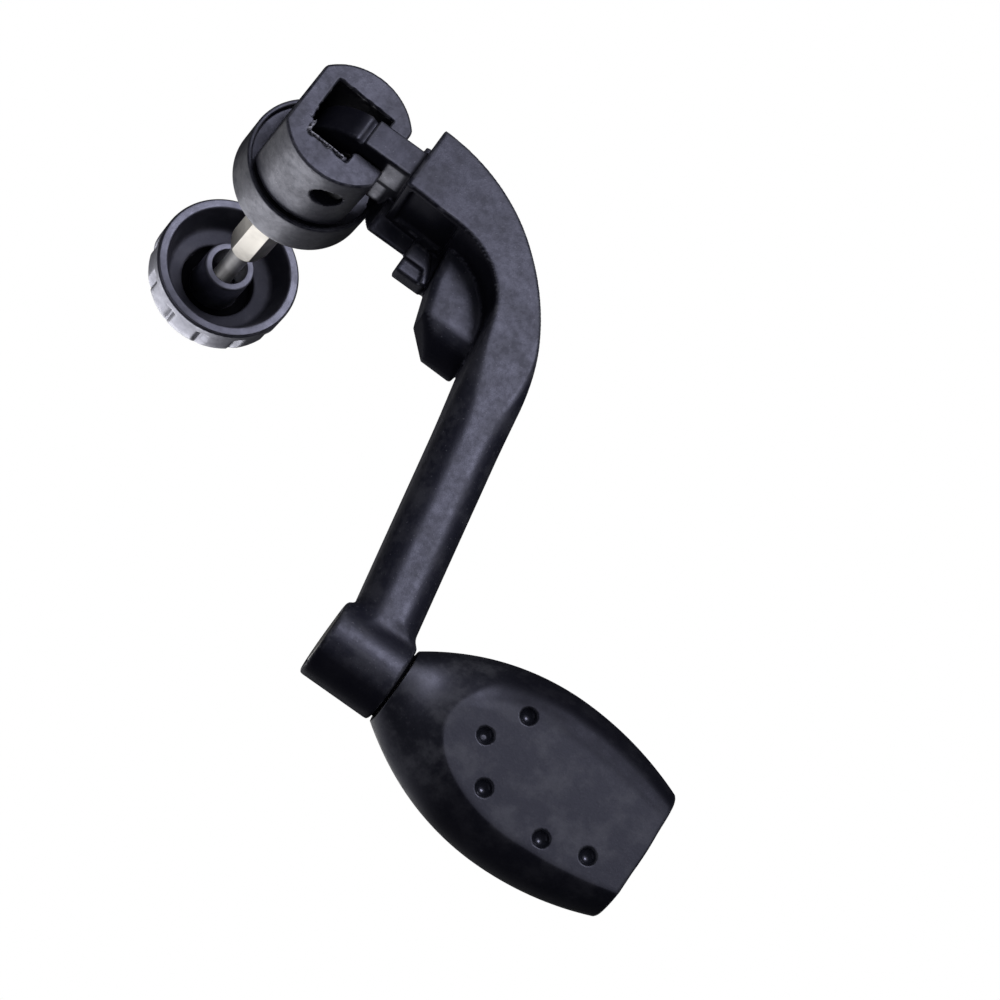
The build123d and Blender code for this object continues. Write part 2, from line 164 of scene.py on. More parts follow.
# %% Sockets that can be added and multiplied
class Wire:
    """A socket of a shader graph. Sums and products of wires and numbers add Math nodes."""

    def __init__(self, material, socket):
        self.material, self.socket = material, socket

    def node(self, kind, settings=None, out=0, **inputs):
        """Adds a node of this type: settings first, then its sockets' values or links by name."""
        return add_node(self.material, kind, settings, out, **inputs)

    def maths(self, operation, a, b, clamp=False):
        return self.node("ShaderNodeMath", {"operation": operation, "use_clamp": clamp}, i0=a, i1=b)

    def __add__(self, other): return self.maths("ADD", self, other)
    def __radd__(self, other): return self.maths("ADD", other, self)
    def __sub__(self, other): return self.maths("SUBTRACT", self, other)
    def __rsub__(self, other): return self.maths("SUBTRACT", other, self)
    def __mul__(self, other): return self.maths("MULTIPLY", self, other)
    def __rmul__(self, other): return self.maths("MULTIPLY", other, self)

    def clamp(self):
        """The value, kept between 0 and 1."""
        return self.maths("ADD", self, 0.0, clamp=True)

    def step(self, low, high, to_low=0.0, to_high=1.0):
        """Smooth step from to_low to to_high as the value goes from low to high."""
        settings = {"interpolation_type": "SMOOTHSTEP"}
        return self.node("ShaderNodeMapRange", settings, i0=self, i1=low, i2=high, i3=to_low, i4=to_high)


def add_node(material, kind, settings=None, out=0, **inputs):
    """Adds a node and gives back one of its outputs. A socket is named, or numbered as in i0 or i7."""
    tree = material.node_tree
    made = tree.nodes.new(kind)
    for key, value in (settings or {}).items():
        setattr(made, key, value)
    for key, value in inputs.items():
        is_number = key[0] == "i" and key[1:].isdigit()
        socket = made.inputs[int(key[1:])] if is_number else made.inputs[key.replace("_", " ")]
        if isinstance(value, Wire):
            tree.links.new(value.socket, socket)
        else:
            socket.default_value = value
    return Wire(material, made.outputs[out])


print("a wire knows:", [name.strip("_") for name in vars(Wire) if name[-5:] in ("add__", "sub__", "mul__")])

# %% [markdown]
# A finish starts from Blender's main shader. What is the same all over the piece is set on the shader
# itself, and what varies is worked out from the place on the piece, in the piece's own coordinates, so
# that a pattern stays where it is when the piece moves.

# %% Start of a finish
def new_finish(name, **constants):
    """A material with its main shader, whose fixed inputs are set on the shader itself."""
    material = bpy.data.materials.new(name)
    material.use_nodes = True
    shader = material.node_tree.nodes["Principled BSDF"]
    for key, value in constants.items():
        shader.inputs[key.replace("_", " ")].default_value = value
    place = add_node(material, "ShaderNodeTexCoord", out=3)
    return material, shader, place


def feed(shader, **wires):
    """Links wires to the shader's sockets by name."""
    for key, wire in wires.items():
        wire.material.node_tree.links.new(wire.socket, shader.inputs[key.replace("_", " ")])


def mix_colours(amount, first, second):
    """From the first colour to the second as amount goes from 0 to 1."""
    return amount.node("ShaderNodeMix", {"data_type": "RGBA"}, out=2, i0=amount, i6=first, i7=second)


def noise(place, scale, detail, roughness=0.5):
    """Lumpy values round 0.5, with this many lumps to the metre."""
    return place.node("ShaderNodeTexNoise", Vector=place, Scale=scale, Detail=detail, Roughness=roughness)


print("helpers for finishes: new_finish, feed, mix_colours and noise")

# %% [markdown]
# ## Moulded nylon
# The hub, the arm and the cap are glass-filled nylon. Such a moulding is nearly black with a faint blue
# cast, and its skin isn't even: it carries cloudy grey dust, fine scuffs and pale specks, its sharp
# edges are rubbed, and some patches shine less than others. Three noises of different size make all of
# this, so that a dusty patch is also a rough one.

# %% Sizes and colours of the nylon's marks
CLOUDS, SCUFFS, SPECKS = 260.0, 950.0, 3200.0      # per metre: 4 mm, 1 mm and 0.3 mm from lump to lump
BLUISH = (0.72, 0.73, 1.0, 1)
PALE_TEAR = (0.30, 0.30, 0.36, 1)
# The black of the painted shade, and of the random patches that shine less.
SHADE_AND_BLOTCH_BLACK = (0.006, 0.006, 0.010, 1)
GRAIN_HEIGHT = 0.00005      # metres
PIT_ROUGHNESS = 0.2
# The deepest painted shade replaces this much of the gloss with plain black.
DEEPEST_PAINTED_SHADE = 0.92


def painted(place, name):
    """The number that a piece stores for each point under this name; 0 where it stores none."""
    return place.node("ShaderNodeAttribute", {"attribute_name": name}, out=2)


print("lumps, mm:", [round(1 / (scale * MM), 1) for scale in (CLOUDS, SCUFFS, SPECKS)])

# %% [markdown]
# Some places differ from the rest by their shape and not by chance, and these are painted on the points
# of a piece: its edges, worn lighter, with a painted highlight line along the arm's rod; the glossy dimples,
# which are kept dark as painted shade; the walls that face away from the lamps, which get painted shade;
# and the torn burr of the hub, which is painted pale. A plain black diffuse shader is mixed in where the
# shade is painted, because a rough gloss would still catch the lamps, and in random patches that shine less.

# %% Black mouldings
def moulded_black(name, colour, dusty, base_roughness, grain, dust_amount, speck_amount, worn, shine,
                  blotches):
    """Dark plastic: cloudy wear, fine dust and worn edges lighten it, and the grain is a shallow bump.
    The painted "edge" is about 1 over the radius in mm; on the arm's rod it also holds a painted highlight
    line. In a dimple a painted 1 makes the skin glossy and keeps out the lightening, as painted shade.
    "torn" is 1 on a torn burr, which is painted pale, and where the painted shade is 1, nearly all the
    gloss is replaced by plain black."""
    material, shader, place = new_finish(name, IOR=1.5, Specular_IOR_Level=shine, Specular_Tint=BLUISH)
    cloud, scuff = noise(place, CLOUDS, 6.0, 0.62), noise(place, SCUFFS, 3.0, 0.7)
    speck = noise(place, SPECKS, 1.0)
    edge = painted(place, "edge").step(0.7, 2.2) * scuff.step(0.38, 0.6)
    shaded_glossy_pit, painted_shade = painted(place, "shaded_glossy_pit"), painted(place, "painted_shade")
    wear = cloud.step(0.44, 0.66) * dust_amount + scuff.step(0.5, 0.8) * (0.45 * dust_amount)
    dust = speck.step(0.71, 0.76) * speck_amount
    # Painted shade: in a dimple no lightening is added, so the dimples stay dark.
    lighter = (wear + dust + edge * worn) * (1 - shaded_glossy_pit)
    skin_colour = mix_colours(lighter.clamp(), colour, dusty)
    torn = painted(place, "torn") * speck.step(0.42, 0.56)
    feed(shader, Base_Color=mix_colours(torn, skin_colour, PALE_TEAR))
    rough = cloud * 0.26 + scuff * 0.14 + (base_roughness - 0.20)
    feed(shader, Roughness=rough - shaded_glossy_pit * (base_roughness - PIT_ROUGHNESS))
    height = scuff * 0.6 + speck * 0.4
    feed(shader, Normal=height.node("ShaderNodeBump", Height=height, Strength=grain, Distance=GRAIN_HEIGHT))
    blotchy = (cloud.step(0.42, 0.62) * 0.20 + scuff.step(0.44, 0.62) * 0.14) * (1 - shaded_glossy_pit) * blotches
    # Painted shade: where the painted number is 1 the gloss gives way to plain black; random blotches dull it
    # elsewhere.
    shade_and_blotch_mix = (painted_shade * DEEPEST_PAINTED_SHADE + blotchy * (1 - painted_shade)).clamp()
    shade_and_blotch_black = place.node("ShaderNodeBsdfDiffuse", Color=SHADE_AND_BLOTCH_BLACK)
    polished = Wire(material, shader.outputs[0])
    skin_deep = place.node("ShaderNodeMixShader", i0=shade_and_blotch_mix, i1=polished, i2=shade_and_blotch_black)
    output = material.node_tree.nodes["Material Output"]
    material.node_tree.links.new(skin_deep.socket, output.inputs["Surface"])
    return material


print("where it is dull, the nylon keeps", round(1 - DEEPEST_PAINTED_SHADE, 2), "of its gloss")

# %% [markdown]
# Three finishes come from it. The arm and the hub are the plain nylon. The knob is a softer plastic with
# more dust and no rubbed edges, as fingers keep it smooth. The cap has gone grey and a little shinier.

# %% Three black finishes
nylon = moulded_black(
    "black nylon", colour=(0.0085, 0.009, 0.0165, 1), dusty=(0.085, 0.086, 0.105, 1), base_roughness=0.42,
    grain=0.40, dust_amount=0.32, speck_amount=0.8, worn=0.5, shine=0.58, blotches=1.0)
knob_plastic = moulded_black(
    "matt knob plastic", colour=(0.0075, 0.0080, 0.0125, 1), dusty=(0.075, 0.076, 0.09, 1),
    base_roughness=0.40, grain=0.25, dust_amount=0.48, speck_amount=0.2, worn=0.0, shine=0.52, blotches=0.5)
cap_nylon = moulded_black(
    "greyed cap nylon", colour=(0.012, 0.012, 0.017, 1), dusty=(0.10, 0.10, 0.12, 1), base_roughness=0.48,
    grain=0.40, dust_amount=0.22, speck_amount=0.3, worn=0.5, shine=1.0, blotches=0.5)
print("mouldings:", nylon.name, "and", knob_plastic.name, "and", cap_nylon.name)

# %% [markdown]
# ## Plated steel
# The shaft and the cap's screw are bright metal, the shaft polished and the screw satin. A drawn bar
# keeps faint lines along its length from the die, so the roughness follows a noise that is stretched
# along the shaft. The hidden axle, its screw and the washers are such metal without the plating, and the
# fold pin is blackened.

# %% Metals
def drawn_metal(name, colour, base_roughness, lines):
    """Metal with fine lines along Y: the noise is squeezed across and stretched along."""
    material, shader, place = new_finish(name, Metallic=1.0)
    stretched = place.node("ShaderNodeMapping", Vector=place, Scale=(2600.0, 90.0, 2600.0))
    line, cloud = noise(stretched, 1.0, 3.0), noise(place, 300.0, 3.0)
    darker = tuple(0.72 * channel for channel in colour[:3]) + (1,)
    feed(shader, Base_Color=mix_colours(cloud.step(0.35, 0.75), colour, darker))
    feed(shader, Roughness=line * lines + cloud * 0.08 + base_roughness)
    feed(shader, Normal=line.node("ShaderNodeBump", Height=line, Strength=0.15, Distance=0.00003))
    return material


plated = drawn_metal("plated steel", (0.90, 0.86, 0.80, 1), 0.26, 0.12)
satin = drawn_metal("satin steel", (0.80, 0.79, 0.80, 1), 0.42, 0.12)
bare = drawn_metal("bare steel", (0.62, 0.61, 0.60, 1), 0.26, 0.2)
blackened = drawn_metal("blackened steel", (0.05, 0.05, 0.055, 1), 0.35, 0.15)
print("metals:", plated.name, satin.name, bare.name, blackened.name)

# %% [markdown]
# ## Bearing plastic
# The bushes and thrust rings are acetal, a slippery engineering plastic: the bushes are white. The rings
# are given a glossless near-black, as painted shade for the cap's deep well, where one of them sits.
# Acetal is smooth from the mould, and only faint flow marks cloud it.

# %% Acetal
def acetal_finish(name, colour, cloudy, shine):
    """Smooth plastic with faint flow marks, which change its colour and roughness together."""
    material, shader, place = new_finish(name, IOR=1.48, Specular_IOR_Level=shine)
    cloud = noise(place, 420.0, 4.0)
    feed(shader, Base_Color=mix_colours(cloud.step(0.35, 0.7), colour, cloudy))
    feed(shader, Roughness=cloud * 0.15 + 0.3)
    return material


acetal = acetal_finish("acetal", (0.70, 0.68, 0.62, 1), (0.60, 0.58, 0.52, 1), 0.5)
# Painted shade: no gloss and nearly no colour for the rings.
shade_black_acetal = acetal_finish("acetal in painted shade", (0.002, 0.002, 0.003, 1), (0.003, 0.003, 0.004, 1), 0.0)
print("bearing plastics:", acetal.name, shade_black_acetal.name)

# %% [markdown]
# ## Shapes as distances
# The arm is one moulding in which a flat ribbon, a round rod, a boss, a tongue and a web run into each
# other with soft fillets. A grid of points suits each of these alone, but not the places where they
# meet. So these two mouldings are drawn as fields: at every point of a block of space a formula gives
# the distance to the surface, negative inside. Forms join with a minimum, a soft minimum leaves a
# fillet, and the surface is where the field is zero.

# %% Distance helpers
def smooth(t):
    """The smooth step: 3 t squared less 2 t cubed, from 0 to 1."""
    t = np.clip(t, 0, 1)
    return t * t * (3 - 2 * t)


def between(t, low, high, soft=0.3):
    """1 between two values, 0 outside them, with a smooth step of this width inside each."""
    return smooth((t - low) / soft) * smooth((high - t) / soft)


def soft_join(a, b, reach):
    """Union of two fields with a fillet: near equal distances the minimum dips by up to a quarter of
    the reach."""
    gap = np.maximum(reach - np.abs(a - b), 0) / reach
    return np.minimum(a, b) - gap * gap * reach / 4


def soft_cut(a, b, reach):
    """What is left of a when b is taken away, with the new edge rounded."""
    return -soft_join(-a, b, reach)


def rounded_corner(a, b, r):
    """Where both fields are negative, with the edge between them rounded to a radius: an arc in the
    plane of a and b."""
    outside = np.hypot(np.maximum(a + r, 0), np.maximum(b + r, 0))
    return np.minimum(np.maximum(a + r, b + r), 0) + outside - r


def slab(x, low, high):
    """Distance to the space between two parallel planes."""
    return np.abs(x - (low + high) / 2) - (high - low) / 2


def brick(x, y, z, low, high, r):
    """A box from one corner to the other, all its edges rounded."""
    flat = rounded_corner(slab(x, low[0], high[0]), slab(y, low[1], high[1]), r)
    return rounded_corner(flat, slab(z, low[2], high[2]), r)


print("two faces joined with a reach of 1 mm dip by", -soft_join(0.0, 0.0, 1.0), "mm where they meet")

# %% [markdown]
# The surface of a field is found in the small cubes between its grid points. Where the field changes
# sign along an edge of a cube, the surface cuts that edge. One point in each such cube and one face for
# each such edge give a closed skin of four-sided faces.

# %% Skin of a field
def skin(field, corner, pitch):
    """Points and faces where a field on a cubic grid is zero.
    Each small cube that the surface crosses gets one point, the mean of the places where the surface cuts
    the cube's edges; each grid edge that it cuts becomes one face between the four cubes round it."""
    cells = tuple(n - 1 for n in field.shape)
    total = np.zeros(cells + (3,), np.float32)
    count = np.zeros(cells, np.float32)
    cuts = []
    for axis in range(3):
        f = np.moveaxis(field, axis, 0)
        before, after = f[:-1], f[1:]
        cut = (before < 0) != (after < 0)
        share = np.where(cut, before / np.where(cut, before - after, 1), 0)
        view_total = np.moveaxis(total, axis, 0)
        view_count = np.moveaxis(count, axis, 0)
        i, j, k = np.nonzero(cut)
        along = i + share[i, j, k]
        others = [a for a in range(3) if a != axis]
        for dj in (0, 1):
            for dk in (0, 1):
                ok = (j >= dj) & (k >= dk) & (j - dj < view_count.shape[1]) & (k - dk < view_count.shape[2])
                at = (i[ok], j[ok] - dj, k[ok] - dk)
                np.add.at(view_count, at, 1)
                for component, value in zip([axis] + others, (along, j, k)):
                    np.add.at(view_total[..., component], at, value[ok])
        cuts.append((i, j, k, before[i, j, k] < 0))
    used = count > 0
    number = np.cumsum(used).reshape(cells) - 1
    points = total[used] / count[used][:, None] * pitch + corner
    faces = []
    for axis, (i, j, k, solid_below) in enumerate(cuts):
        n = np.moveaxis(number, axis, 0)
        loop = np.stack([n[i, j - 1, k - 1], n[i, j, k - 1], n[i, j, k], n[i, j - 1, k]], -1)
        turned = solid_below if axis != 1 else ~solid_below
        faces.append(np.where(turned[:, None], loop, loop[:, ::-1]))
    return points, np.concatenate(faces)


ticks = np.arange(-3, 3.1, 0.5)
ball = np.sqrt(ticks[:, None, None] ** 2 + ticks[:, None] ** 2 + ticks ** 2) - 2
points, faces = skin(ball, np.full(3, -3.0), 0.5)
radii = np.linalg.norm(points, axis=1)
print("a test ball of radius 2 has", len(faces), "faces at a radius of", radii.mean().round(2))

# %% [markdown]
# A field also knows more than its surface. Its slope is the way the surface faces, and how fast the slope
# changes says how sharp an edge is, which tells the finish where to rub it.

# %% What else a field tells
def space(low, high, pitch):
    """Coordinates of a block of grid points as three open arrays, and its lowest corner."""
    axes = [np.arange(a, b + pitch, pitch) for a, b in zip(low, high)]
    x, y, z = np.meshgrid(*axes, indexing="ij", sparse=True)
    return x, y, z, np.array(low, float)


def curvature(field, points, corner, pitch):
    """Sum of the field's second differences at each point: about 1/r on an outer edge of radius r (mm)."""
    second = sum(np.gradient(np.gradient(field, pitch, axis=a), pitch, axis=a) for a in range(3))
    i, j, k = np.round((points - corner) / pitch).astype(int).T
    return second[i, j, k]


def facing(field, points, corner, pitch):
    """Unit normals of the surface: the gradient of the field at each point."""
    i, j, k = np.round((points - corner) / pitch).astype(int).T
    slope = np.stack([np.gradient(field, pitch, axis=a)[i, j, k] for a in range(3)], -1)
    return slope / np.maximum(np.linalg.norm(slope, axis=1, keepdims=True), 1e-9)


print("the test ball bends by", curvature(ball, points, np.full(3, -3.0), 0.5).mean().round(2), "1/mm")

# %% [markdown]
# A torn edge is neither straight nor quite random. A sum of sines in random directions is smooth, never
# repeats within a small piece, and comes out the same in each run, since the draws have a fixed seed.

# %% Irregular waves
def unevenness(x, y, z, size, seed):
    """Irregular waves: nine sines of random direction and length, about this size (mm) from crest to
    crest."""
    chance = np.random.default_rng(seed)
    ways = chance.normal(0, 1, (9, 3))
    lengths = np.linalg.norm(ways, axis=1, keepdims=True)
    ways *= 2 * math.pi / size * chance.uniform(0.6, 1.4, (9, 1)) / lengths
    shifts = chance.uniform(0, 2 * math.pi, 9)
    return sum(np.sin(a * x + b * y + c * z + shift) for (a, b, c), shift in zip(ways, shifts)) / 3


print("the waves reach", np.abs(unevenness(np.arange(0, 90, 0.3), 0, 0, 1.3, 5)).max().round(2))

# %% [markdown]
# ## The crank arm
# Seen from above, the arm leaves the hub as a broad flat ribbon, bends through a quarter turn and runs
# down as a rod to a round boss that carries the knob's axle. Its outline is two chains of arcs and
# straights, so it is worked out as such: a turtle walks along each side and drops points as it goes.

# %% Walk along an outline
def walk(start, heading, legs, spacing=0.4):
    """Points along straights and arcs. A leg is (length, radius): radius None is straight, and a
    positive radius turns right. Along an arc the heading falls by length over radius."""
    path, at, angle = [np.array([start])], np.array(start, float), math.radians(heading)
    for length, radius in legs:
        s = np.linspace(0, length, max(2, int(length / spacing)))[1:, None]
        if radius is None:
            step = s * [math.cos(angle), math.sin(angle)]
        else:
            turned = angle - s / radius
            step = radius * np.hstack([np.sin(angle) - np.sin(turned), np.cos(turned) - np.cos(angle)])
            angle = float(turned[-1, 0])
        path.append(at + step)
        at = path[-1][-1]
    return np.vstack(path)


print("a quarter turn of radius 10 ends at", walk((0, 0), 0, [(5 * math.pi, 10)])[-1].round(2))

# %% [markdown]
# From an outline in the plane comes a field: the distance to its nearest point, with a sign that tells
# inside from outside. A ray from an inside point crosses the outline an odd number of times.

# %% Distance to an outline
def outline_distance(x, y, corners):
    """Distance in the plane to a closed outline, negative inside: the nearest of its short straight
    pieces gives the size, and the number of pieces crossed by a ray along X gives the sign."""
    size = np.full(np.broadcast(x, y).shape, 1e9)
    crossed = np.zeros(size.shape, bool)
    for (ax, ay), (bx, by) in zip(corners, np.roll(corners, -1, 0)):
        dx, dy = bx - ax, by - ay
        if dx == 0 and dy == 0:
            continue
        t = np.clip(((x - ax) * dx + (y - ay) * dy) / (dx * dx + dy * dy), 0, 1)
        size = np.minimum(size, (x - ax - t * dx) ** 2 + (y - ay - t * dy) ** 2)
        if dy != 0:
            crossed ^= ((ay > y) != (by > y)) & (x < ax + (y - ay) / dy * dx)
    return np.where(crossed, -1, 1) * np.sqrt(size)


square = np.array([(-1, -1), (1, -1), (1, 1), (-1, 1)])
print("the middle of a 2 mm square lies", outline_distance(np.zeros(1), np.zeros(1), square)[0], "mm from it")

# %% [markdown]
# The outer side leaves the head along a wide arc and goes on in a wider one. The inner side turns in one
# tight arc. Both end in a straight, beyond which the boss takes over.

# %% Outline of the ribbon and the rod
HEAD_X, HEAD_HALF, HEAD_TOP, HEAD_FLOOR = 8.0, 5.2, 10.54, -0.2
arc = math.radians
outer_side = walk((HEAD_X, HEAD_HALF), 0, [(27 * arc(41), 27), (36 * arc(40), 36), (36, None)])
inner_side = walk((HEAD_X, -HEAD_HALF), -3, [(9, None), (11.3 * arc(78), 11.3), (48, None)])
arm_outline = np.vstack([outer_side, inner_side[::-1]])
print("the arm reaches to", arm_outline.min(0), arm_outline.max(0))

# %% [markdown]
# The ribbon has a flat top with crisp edges and upright sides. Towards the rod the edges are rounded
# more and more, which leaves a narrow flat strip on top of a rounded bar, and the top slopes down to
# the boss. So the radius of the edge and the height of the top are themselves fields over the plan.

# %% Body of the arm
PITCH = 0.28                          # mm between the points of the arm's field
BOSS_X, BOSS_R = (33.1, 43.7), 5.45
x, y, z, arm_corner = space((-9.5, -70.5, -8.0), (46.0, 10.0, 12.5), PITCH)
edge_r = 0.45 + 2.95 * smooth((-13 - y) / 18)
top = HEAD_TOP - 2.3 * smooth((-14 - y) / 50)
plan = outline_distance(x, y, arm_outline)
limb = rounded_corner(plan, slab(z, HEAD_FLOOR, top), edge_r)
boss_y, boss_z = BOSS_FACE[1:]
from_axle = np.hypot(y - boss_y, z - boss_z)
boss = rounded_corner(from_axle - BOSS_R, slab(x, *BOSS_X), 0.5)
limb = np.maximum(limb, boss_y - y)
arm_field = soft_join(limb, boss, 1.6)
print("field of", arm_field.size, "points")

# %% [markdown]
# At the hub end a tongue carries the arm on the fold pin: a small eye below the pin and a quarter round
# above it. Under the ribbon a skirt carries on the round outline of the hub. A shallow panel is sunk in
# the side of the head.

# %% Tongue, skirt and panel
HUB_R = 9.05
TONGUE_HALF, EYE_R, KNUCKLE_R = 2.3, 3.3, 7.35
from_pin = np.hypot(x, z)
tongue_slab = slab(y, -TONGUE_HALF, TONGUE_HALF)
tongue = brick(x, y, z, (0, -TONGUE_HALF, -3.3), (11, TONGUE_HALF, 7.7), 0.2)
eye = rounded_corner(from_pin - EYE_R, tongue_slab, 0.2)
quarter = rounded_corner(np.maximum(np.maximum(from_pin - KNUCKLE_R, x), -z), tongue_slab, 0.2)
tongue = np.minimum(np.minimum(tongue, eye), quarter)
knuckle_groove = brick(x, y, z, (-0.55, -3.0, 6.9), (0.15, 3.0, 9.0), 0.1)
tongue = soft_cut(tongue, knuckle_groove, 0.15)
skirt = rounded_corner(np.hypot(y, z - pivot_x) - HUB_R, slab(x, 0, 14.0), 0.5)
skirt = rounded_corner(skirt, z - HEAD_FLOOR, 0.4)
skirt = rounded_corner(skirt, 7.0 - from_pin, 0.3)
panel = brick(x, y, z, (9.2, -6.6, 0.8), (17.0, -4.5, 9.4), 0.3)
print("tongue, skirt and panel done")

# %% [markdown]
# The web is a plump pad that fills the inside of the bend: its top is nearly level and rolls over at the
# free end, as if a thumb had pressed the clay down. Beside it a thin apron with a raised lip carries on
# from the skirt. The apron is a low block, and a shallower one is cut out of it to leave the lip.

# %% Web and apron
WEB_CORNERS = np.array([(17.4, -4.6), (18.2, -11.0), (19.8, -16.4), (23.2, -19.9), (28.0, -20.0),
                        (29.5, -13.0), (25.0, -4.6)])
web_top = 4.6 - 4.2 * np.clip((-15.4 - y) / 5.0, 0, 1) ** 2 - 0.003 * ((x - 24) ** 2 + (y + 9) ** 2)
web = rounded_corner(outline_distance(x, y, WEB_CORNERS), slab(z, -1.4, web_top), 1.0)
apron = brick(x, y, z, (13.2, -11.6, -1.4), (18.0, -5.0, 1.9), 0.4)
apron = rounded_corner(apron, (x - 17.4) + (y + 9.2) * 0.5, 0.9)
hollow = rounded_corner(slab(x, 11.0, 16.9), slab(y, -20.0, -9.5), 0.9)
hollow = rounded_corner(hollow, (x - 16.4) + (y + 9.7) * 0.5, 0.5)
apron = soft_cut(apron, np.maximum(hollow, 1.4 - z), 0.15)
ledge = brick(x, y, z, (13.2, -11.4, -1.4), (21.0, -4.0, 0.3), 0.4)
apron = np.minimum(apron, ledge)
for form, fillet in ((tongue, 0.3), (skirt, 0.4), (web, 0.4), (apron, 0.2)):
    arm_field = soft_join(arm_field, form, fillet)
arm_field = soft_cut(arm_field, panel, 0.3)
print("web and apron joined")

# %% [markdown]
# Last come the holes: for the fold pin, for the knob's axle, and a wide seat for the axle's head. Then
# the skin is worked out and carried to its place.

# %% Bores and mesh of the arm
pin_bore = np.maximum(from_pin - 1.54, slab(y, -3, 3))
axle_bore = np.maximum(from_axle - 2.04, slab(x, 30, 46))
head_seat = np.maximum(from_axle - 3.9, x - BOSS_X[0] - 1.1)
for hole in (pin_bore, axle_bore, head_seat):
    arm_field = np.maximum(arm_field, -hole)
points, faces = skin(arm_field, arm_corner, PITCH)
arm = mesh_piece("moulded_crank_arm", arm_to_frame(points), faces)

# %% [markdown]
# The steep inner side of the arm, which faces away from the lamps, and its knuckle get painted shade,
# apart from two small blocks on the tongue's flank that stay lit. Along the rod, where its top turns into
# its flank, a thin line is painted lighter as a highlight, where no sharp corner would give one.

# %% Finish of the arm
px, py, pz = points.T
turned = facing(arm_field, points, arm_corner, PITCH)
# Painted shade on the side that faces away (towards -Y and not upward), and on the knuckle.
away_side = smooth((-turned[:, 1] - 0.26) / 0.18) * smooth((0.88 - turned[:, 2]) / 0.18)
upper_block = between(px, 4.0, 7.3) * between(pz, 2, 6.9)
lower_block = between(px, 4.1, 5.9) * smooth((1.4 - pz) / 0.3) * smooth((pz + 2.8) / 0.5)
lit_block = np.maximum(upper_block, lower_block) * (py > -2.6)
knuckle = smooth((-0.2 - px) / 2.4) * (np.abs(py) < 2.6)
paint(arm, "painted_shade", np.maximum(away_side * (1 - lit_block), knuckle))
# Painted highlight: a thin lighter line along the rod, where the surface turns a little towards -Y.
painted_highlight_line = 1.4 * smooth((-20 - py) / 12) * np.exp(-((turned[:, 1] + 0.2) / 0.08) ** 2) * (turned[:, 2] > 0)
paint(arm, "edge", curvature(arm_field, points, arm_corner, PITCH) + painted_highlight_line)
arm.data.materials.append(nylon)
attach(arm, "arm")
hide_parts("crank_arm")
print("dull points:", int((away_side > 0.5).sum()))

# %% [markdown]
# ## The hub
# The hub is a round block with two flats, so its top is a D on both sides. A square socket opens in the
# top and runs out through the mouth as a slot for the tongue. Soft edges and the ragged rim of the
# socket, where the tool tore the plastic, are what tells a moulding from a drawing of one. It is drawn
# as a field as well, on a finer grid, because the torn lip is only a quarter of a millimetre thick.

# %% Block of the hub
HUB_PITCH = 0.2
FLAT_X, HUB_TOP = 7.4, 21.2
hx, hy, hz, hub_corner = space((-8.2, -9.8, -0.8), (8.2, 9.8, 22.0), HUB_PITCH)
from_axis = np.hypot(hx, hy)
block = rounded_corner(from_axis - HUB_R, np.abs(hx) - FLAT_X, 0.25)
block = rounded_corner(block, slab(hz, 7.6, HUB_TOP), 0.3)
foot = np.maximum(rounded_corner(from_axis - 8.2, np.abs(hx) - FLAT_X, 0.2), slab(hz, 6.3, 8.0))
spigot = np.maximum(from_axis - 7.2, slab(hz, 0, 7.0))
hub = np.minimum(np.minimum(block, spigot), foot)
print("field of", hub.size, "points")

# %% [markdown]
# The socket is a square that narrows a little towards the mouth, and the slot beside it is as wide as
# the tongue needs. Near the top its walls are ragged, more so on the ledge's side. The ledge is a
# shallow step with a thin torn lip along two of its sides.

# %% Socket, slot and torn rim
def burr_line(hx, hy):
    """Distance to the thin torn lip that follows two sides of the ledge."""
    along = np.maximum(np.abs(hy + 4.45) - 0.14, slab(hx, -3.8, 1.9))
    return np.minimum(along, np.maximum(np.abs(hx + 3.95) - 0.13, slab(hy, -4.4, -2.4)))


torn = 0.35 + 0.65 * smooth((0.5 - hy) / 2)
ragged = torn * (0.16 * unevenness(hx, hy, hz, 1.3, 5) + 0.09 * unevenness(hx, hy, hz, 0.7, 8))
near_top = smooth((hz - 18.9) / 2.1)
wide_part = np.maximum(slab(hx, -4.8, 4.4), slab(hy, -0.5, 4.85))
corner_fill = smooth((-2.6 - hy) / 0.3)
narrow_part = np.maximum(slab(hx, -4.75 + 0.7 * corner_fill, 4.4 - 1.8 * corner_fill), slab(hy, -4.1, 0))
socket = np.maximum(np.minimum(wide_part, narrow_part), 7.9 - hz) - ragged * near_top
channel = np.maximum(np.maximum(-hx, np.abs(hy) - 2.6), 12.3 - hz)
step_cut = brick(hx, hy, hz, (-4.2, -4.9, 20.5), (2.6, -2.2, 23.0), 0.1) - 0.7 * ragged
for form, edge in ((socket, 0.12), (channel, 0.2), (step_cut, 0.12)):
    hub = soft_cut(hub, form, edge)
burr = np.maximum(burr_line(hx, hy) - 0.3 * ragged, slab(hz, 19.0, 21.15))
hub = np.minimum(hub, burr)
print("the rim is ragged by up to", round(float(np.abs(ragged).max()), 2), "mm")

# %% [markdown]
# Below the socket the hub is hollowed for the shaft: a square room for its head and a six-sided hole. The
# pin's hole runs across, with a wider mouth on the side from which the pin is driven in.

# %% Bores and mesh of the hub
head_room = np.maximum(np.maximum(np.abs(hx), np.abs(hy)) - 3.7, slab(hz, 6.1, 8.5))
turns = [math.radians(angle) for angle in (30, 90, 150)]
across = [np.abs(hx * math.cos(turn) + hy * math.sin(turn)) for turn in turns]
six_sides = np.maximum(np.maximum(across[0], across[1]), across[2]) - 2.75
shaft_hole = np.maximum(six_sides, hz - 8)
pin_round = np.hypot(hx - pivot_x, hz - pivot_z)
counterbore = np.maximum(pin_round - 2.04, hy + 5.8)
pin_bore = np.maximum(pin_round - 1.54, slab(hy, -8, 7.5))
for hole in (head_room, shaft_hole, pin_bore):
    hub = np.maximum(hub, -hole)
hub = soft_cut(hub, counterbore, 0.1)
points, faces = skin(hub, hub_corner, HUB_PITCH)
hub_piece = mesh_piece("moulded_hub", laid_down(points), faces)
